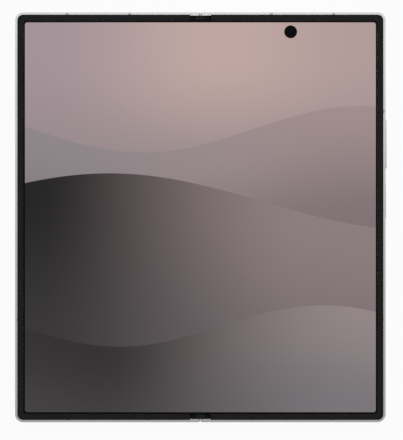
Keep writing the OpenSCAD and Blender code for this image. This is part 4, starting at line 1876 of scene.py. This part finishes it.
@dataclass
class Fasteners:
    """Screws with a star-shaped recess, in the place and size of each screw of the frame."""

    steps: int = 48
    shank: float = 0.85
    head_taper: float = 0.88
    recess: float = 0.62
    depth: float = 0.45
    points: int = 6
    rise: float = 0.16

    def tree(self) -> Shape:
        """Builds the tree that puts one screw on every point.

        Returns:
            The tree.
        """
        shape = Shape("star_screws")
        disc = shape.node("GeometryNodeMeshCircle", {"fill_type": "NGON"}, {
            "Vertices": self.steps, "Radius": shape.size("Radius")})
        height = shape.size("Height")
        shank = shape.raised(disc.outputs["Mesh"], None, height * self.shank)
        head = shape.raised(shank.outputs["Mesh"], shank.outputs["Top"], height * (1 - self.shank))
        head_top = head.outputs["Top"]
        mesh = shape.scaled(head, self.head_taper)
        inset = shape.raised(mesh, head_top, 0.0)
        star_top = inset.outputs["Top"]
        mesh = shape.scaled(inset, self.recess)
        place = shape.node("GeometryNodeInputPosition").outputs[0]
        parts = shape.node("ShaderNodeSeparateXYZ", {}, {0: place})
        x, y = Num(shape, parts.outputs[0]), Num(shape, parts.outputs[1])
        angle = shape.number("ShaderNodeMath", {"operation": "ARCTAN2"}, {0: y, 1: x})
        wave = shape.number("ShaderNodeMath", {"operation": "COSINE"}, {0: angle * float(self.points)})
        grow = wave * self.rise
        shift = shape.node("ShaderNodeCombineXYZ", {}, {0: x * grow, 1: y * grow})
        mesh = shape.node("GeometryNodeSetPosition", {}, {"Geometry": mesh, "Selection": star_top,
                                                          "Offset": shift.outputs[0]}).outputs[0]
        sunk = shape.raised(mesh, star_top, height * -self.depth)
        shape.close(shape.repeated(shape.points(), sunk.outputs["Mesh"]), SCREW)
        return shape

    def build(self, frame: dict[str, Any]) -> None:
        """Puts screws in both halves and the spine.

        Args:
            frame: The loaded frame.
        """
        shape = self.tree()
        groups = {"cover_hinge_screws": Body.COVER, "main_hinge_screws": Body.MAIN,
                  "cover_board_screws": Body.COVER, "main_board_screws": Body.MAIN,
                  "spine_screws": Body.SPINE}
        for node, body in groups.items():
            boxes = sites(frame["nodes"][node])
            places = [(*middle(a, b)[:2], a[2]) for a, b in boxes]
            low, high = boxes[0]
            sizes = {"Radius": (high[0] - low[0]) / 2, "Height": high[2] - low[2]}
            piece = shape.run(f"{node}_star", places, sizes)
            shade(piece, angle=35.0)
            fit(piece, body, "screw_steel", node)


@dataclass
class SocketContacts:
    """Rows of gold contacts on both faces of the tongue in the charging socket."""

    count: int = 12
    pitch: float = 0.5
    width: float = 0.26
    length: float = 2.4
    height: float = 0.03
    set_back: float = 1.1
    tongue: tuple[float, float] = (6.7, 0.7)
    tongue_back: float = 0.8
    steel: Colour = (0.55, 0.56, 0.57)

    def tree(self) -> Shape:
        """Builds the tree that puts a row of contacts on every point.

        Returns:
            The tree.
        """
        shape = Shape("contact_row")
        step = shape.node("ShaderNodeCombineXYZ", {}, {0: shape.size("Pitch")})
        row = shape.node("GeometryNodeMeshLine", {"mode": "OFFSET"}, {
            "Count": shape.count("Count"), "Offset": step.outputs[0]})
        pads = shape.repeated(row.outputs["Mesh"], shape.pad())
        line = shape.node("GeometryNodeRealizeInstances", {}, {"Geometry": pads}).outputs[0]
        shape.close(shape.repeated(shape.points(), line), GOLD)
        return shape

    def build(self, frame: dict[str, Any]) -> None:
        """Dresses the socket's shell and puts the contacts on its tongue.

        Args:
            frame: The loaded frame.
        """
        low, high = box("usb_socket")
        centre = middle(low, high)
        shell = SocketShell("socket_shell", self.steel, (centre[0], centre[2]), self.tongue,
                            low[1] + self.tongue_back)
        dress(frame["nodes"]["usb_socket"], shell)
        x = centre[0] - self.pitch * (self.count - 1) / 2
        y = low[1] + self.set_back + self.length / 2
        half = self.tongue[1] / 2
        faces = [(x, y, centre[2] + half), (x, y, centre[2] - half - self.height)]
        values = {"Pitch": self.pitch, "Count": self.count, "Width": self.width, "Length": self.length,
                  "Height": self.height}
        fit(self.tree().run("socket_contacts", faces, values), Body.MAIN, "ring_metal")


@dataclass
class SpeakerMeshes:
    """Fine woven wire behind the speaker slots."""

    width: float = 12.8
    height: float = 1.3
    pitch: float = 0.22
    wire: float = 0.035
    depth: float = 0.9
    level: float = 4.0
    wire_steps: int = 5

    def tree(self) -> Shape:
        """Builds the tree that puts an upright wire mesh on every point.

        Returns:
            The tree.
        """
        shape = Shape("wire_mesh")
        grid = shape.node("GeometryNodeMeshGrid", {}, {
            "Size X": shape.size("Width"), "Size Y": shape.size("Height"),
            "Vertices X": shape.count("Columns"), "Vertices Y": shape.count("Rows")})
        lines = shape.node("GeometryNodeMeshToCurve", {}, {
            "Mesh": shape.turned(grid.outputs["Mesh"], math.pi / 2)})
        cloth = shape.thread(lines.outputs[0], self.wire_steps, capped=False)
        shape.close(shape.repeated(shape.points(), cloth), WIRE)
        return shape

    def build(self, frame: dict[str, Any]) -> None:
        """Puts a wire mesh behind the slots of both speakers.

        Args:
            frame: The loaded frame.
        """
        shape = self.tree()
        values = {"Width": self.width, "Height": self.height, "Wire": self.wire,
                  "Columns": round(self.width / self.pitch) + 1, "Rows": round(self.height / self.pitch) + 1}
        for node, outer, body in (("main_speaker", "main_frame", Body.MAIN),
                                  ("cover_speaker", "cover_frame", Body.COVER)):
            x, y, _ = middle(*box(node))
            base, top = box(outer)
            face = top[1] - self.depth if y > 0 else base[1] + self.depth
            piece = shape.run(f"{node}_cloth", [(x, face, self.level)], values)
            shade(piece, angle=60.0)
            fit(piece, body, "module_black")


@dataclass
class ChargingCoil:
    """Flat spiral of enamelled wire behind the rear glass."""

    turns: float = 24.0
    band: float = 11.0
    turn_steps: int = 56
    wire_steps: int = 6
    wire_share: float = 0.9

    def tree(self) -> Shape:
        """Builds the tree that puts one flat spiral on every point.

        Returns:
            The tree.
        """
        shape = Shape("flat_spiral")
        outer = shape.size("Outer Radius")
        spiral = shape.node("GeometryNodeCurveSpiral", {}, {
            "Resolution": self.turn_steps, "Rotations": self.turns,
            "Start Radius": outer - shape.size("Band"), "End Radius": outer, "Height": 0.0})
        wound = shape.thread(spiral.outputs[0], self.wire_steps)
        shape.close(shape.repeated(shape.points(), wound), COPPER)
        return shape

    def build(self, frame: dict[str, Any]) -> None:
        """Winds the coil in the place of the frame's ring.

        Args:
            frame: The loaded frame.
        """
        low, high = box("charging_coil")
        thick = (high[2] - low[2]) / 2
        piece = self.tree().run("charging_coil_winding", [middle(low, high)], {
            "Outer Radius": (high[0] - low[0]) / 2 - thick, "Band": self.band - thick,
            "Wire": thick * self.wire_share})
        shade(piece, angle=60.0)
        fit(piece, Body.MAIN, "coil_copper", "charging_coil")


@dataclass
class BoardParts:
    """Small soldered parts on the undersides of the boards, clear of the shielded chips."""

    seed: int = 7
    spacing: float = 1.5
    clear: float = 0.9
    margin: float = 0.8
    crowd: float = 9e5
    width: float = 0.5
    length: float = 0.9
    height: float = 0.35
    taper: float = 0.8
    downward: float = -0.9
    flat: float = 0.01

    def tree(self, chips: bpy.types.Object | None) -> Shape:
        """Returns the tree that spreads parts over the faces that look down.

        Args:
            chips: Solids to keep clear of, if any.

        Returns:
            The tree.
        """
        shape = Shape("board_parts")
        spread = shape.node("GeometryNodeDistributePointsOnFaces", {"distribute_method": "POISSON"}, {
            "Mesh": shape.points(), "Distance Min": shape.size("Spacing"), "Density Max": self.crowd,
            "Seed": shape.count("Seed")})
        points = spread.outputs["Points"]
        if chips is not None:
            info = shape.node("GeometryNodeObjectInfo", {}, {"Object": chips})
            near = shape.node("GeometryNodeProximity", {"target_element": "FACES"},
                              {0: info.outputs["Geometry"]})
            close = shape.node("FunctionNodeCompare", {"data_type": "FLOAT", "operation": "LESS_THAN"}, {
                0: near.outputs["Distance"], 1: shape.size("Clear")})
            points = shape.node("GeometryNodeDeleteGeometry", {"domain": "POINT"}, {
                "Geometry": points, "Selection": close.outputs[0]}).outputs[0]
        quarter = shape.node("FunctionNodeRandomValue", {"data_type": "INT"}, {
            4: 0, 5: 1, 8: shape.count("Turn Seed")})
        angle = Num(shape, quarter.outputs[2]) * (math.pi / 2)
        turn = shape.node("ShaderNodeCombineXYZ", {}, {0: math.pi, 2: angle})
        shape.close(shape.repeated(points, shape.pad(self.taper), rotation=turn.outputs[0]), TIN)
        return shape

    def underside(self, name: str, board: bpy.types.Object) -> bpy.types.Object:
        """Returns a board's lower face without a margin, for the parts to stand on.

        Args:
            name: Name of the new piece.
            board: The board.

        Returns:
            The face as a piece.
        """
        build = welded(board)
        upper = [face for face in build.faces if face.normal.z > self.downward]
        bmesh.ops.delete(build, geom=upper, context="FACES")
        bmesh.ops.dissolve_limit(build, angle_limit=self.flat, verts=build.verts, edges=build.edges)
        bmesh.ops.inset_region(build, faces=build.faces, thickness=self.margin * MM,
                               use_boundary=True, use_even_offset=True)
        rim = [face for face in build.faces if any(edge.is_boundary for edge in face.edges)]
        bmesh.ops.delete(build, geom=rim, context="FACES")
        return from_bmesh(name, build)

    def build(self, frame: dict[str, Any]) -> None:
        """Fills the three boards.

        Args:
            frame: The loaded frame.
        """
        nodes = frame["nodes"]
        values = {"Spacing": self.spacing, "Clear": self.clear, "Width": self.width,
                  "Length": self.length, "Height": self.height, "Seed": self.seed,
                  "Turn Seed": self.seed + 1}
        for board, chips, body in (("cover_board", "cover_board_chips", Body.COVER),
                                   ("main_board", "main_board_chips", Body.MAIN),
                                   ("charge_board", None, Body.MAIN)):
            piece = self.underside(f"{board}_parts", nodes[board])
            self.tree(nodes[chips] if chips else None).cover(piece, values)
            fit(piece, body, "chip_shield")


@dataclass(frozen=True)
class Lamp:
    """Square soft lamp that faces the phone, with its power in watts."""

    name: str
    place: Point
    size: float
    power: float = 1.0

    def build(self) -> None:
        """Adds the lamp."""
        data = bpy.data.lights.new(self.name, "AREA")
        data.size = self.size * MM
        data.energy = self.power
        made = new_object(self.name, data)
        made.visible_camera = False
        made.location = Vector(self.place) * MM
        made.rotation_euler = (-Vector(self.place)).to_track_quat("-Z", "Y").to_euler()


@dataclass
class Studio:
    """White sweep, soft lamps and the camera straight above the phone."""

    view_w: float = 155.76
    aim: tuple[float, float] = (0.44, -1.04)
    top: float = 6.12
    distance: float = 2000.0
    sensor: float = 36.0
    floor: float = 4000.0
    floor_tone: float = 0.86
    floor_glow: float = 0.93
    sight: float = 20.0
    sky_span: float = 0.8
    sky_low: float = 0.25
    sky_high: float = 0.62
    lamps: tuple[Lamp, ...] = (Lamp("key_lamp", (0.0, 330.0, 620.0), 560.0),
                               Lamp("fill_lamp", (700.0, 200.0, 800.0), 500.0))

    def camera(self) -> None:
        """Adds the camera."""
        data = bpy.data.cameras.new("camera")
        made = new_object("camera", data)
        view_h = self.view_w * PHOTO_H / PHOTO_W
        data.sensor_fit = "AUTO"
        data.sensor_width = self.sensor
        data.lens = self.sensor * self.distance / view_h
        data.clip_end = self.sight
        made.location = (self.aim[0] * MM, self.aim[1] * MM, (self.top + self.distance) * MM)
        bpy.context.scene.camera = made

    def ground(self) -> None:
        """Adds the pale floor, white to the camera apart from a soft shadow."""
        graph = Graph("pale_floor")
        rays = graph.node("ShaderNodeLightPath").outputs
        seen = Num(graph, rays["Is Camera Ray"]).high(Num(graph, rays["Is Glossy Ray"]))
        seen = seen.high(Num(graph, rays["Is Transmission Ray"]))
        tone = (self.floor_tone, self.floor_tone, self.floor_tone)
        paint = graph.node("ShaderNodeBsdfDiffuse", {}, {"Color": tone})
        glow = graph.node("ShaderNodeEmission", {}, {"Color": (1.0, 1.0, 1.0), "Strength": 1.0})
        mixed = graph.node("ShaderNodeMixShader", {},
                           {0: seen * self.floor_glow, 1: paint.outputs[0], 2: glow.outputs[0]})
        under = graph.node("ShaderNodeNewGeometry").outputs["Backfacing"]
        clear = graph.node("ShaderNodeBsdfTransparent")
        sided = graph.node("ShaderNodeMixShader", {}, {0: under, 1: mixed.outputs[0], 2: clear.outputs[0]})
        graph.tree.links.new(sided.outputs[0], graph.output.inputs[0])
        build = bmesh.new()
        bmesh.ops.create_grid(build, x_segments=8, y_segments=8, size=self.floor / 2 * MM)
        plane = from_bmesh("floor", build)
        plane.data.materials.append(graph.material)
        plane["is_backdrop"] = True

    def world(self) -> None:
        """Lights the scene from a pale surround that is dimmer towards the phone's lower edge."""
        world = bpy.data.worlds.new("surround")
        bpy.context.scene.world = world
        world.use_nodes = True
        world.node_tree.nodes.clear()
        wiring = Wiring(world.node_tree)
        coords = wiring.node("ShaderNodeTexCoord").outputs["Generated"]
        along = wiring.node("ShaderNodeSeparateXYZ", {}, {0: coords}).outputs[1]
        slope = wiring.node("ShaderNodeMapRange", {}, {
            "Value": along, "From Min": -self.sky_span, "From Max": self.sky_span,
            "To Min": self.sky_low, "To Max": self.sky_high}).outputs[0]
        seen = wiring.node("ShaderNodeLightPath").outputs["Is Camera Ray"]
        strength = wiring.node("ShaderNodeMix", {}, {0: seen, 2: slope, 3: 1.0}).outputs[0]
        inputs = {"Color": (1.0, 1.0, 1.0), "Strength": strength}
        back = wiring.node("ShaderNodeBackground", {}, inputs)
        wiring.node("ShaderNodeOutputWorld", {}, {0: back.outputs[0]})

    def build(self) -> None:
        """Sets up the view, floor, surround and lamps."""
        bpy.context.scene.view_settings.view_transform = "Standard"
        self.camera()
        self.ground()
        self.world()
        for lamp in self.lamps:
            lamp.build()
        LOG.info("studio ready")


def plain(bounds: Sequence[Iterable[float]]) -> list[list[float]]:
    """Returns a box's two corners as plain lists."""
    return [[float(value) for value in point] for point in bounds]


def main(frame: dict[str, Any], cad_box: list[list[float]]) -> None:
    """Builds every sub-assembly around the frame.

    Args:
        frame: The loaded frame.
        cad_box: The CAD model's box, taken straight after loading; not used.
    """
    logging.basicConfig(level=logging.INFO, format="%(name)s: %(message)s")
    Studio().build()
    for part in (Screen(), Casing(), Cameras(), Insides(), HingeCables(), Springs(), Fasteners(),
                 SocketContacts(), SpeakerMeshes(), ChargingCoil(), BoardParts()):
        part.build(frame)
        LOG.info("%s built", type(part).__name__)
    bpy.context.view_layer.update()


if __name__ == "__main__":
    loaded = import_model()
    main(loaded, plain(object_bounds()))
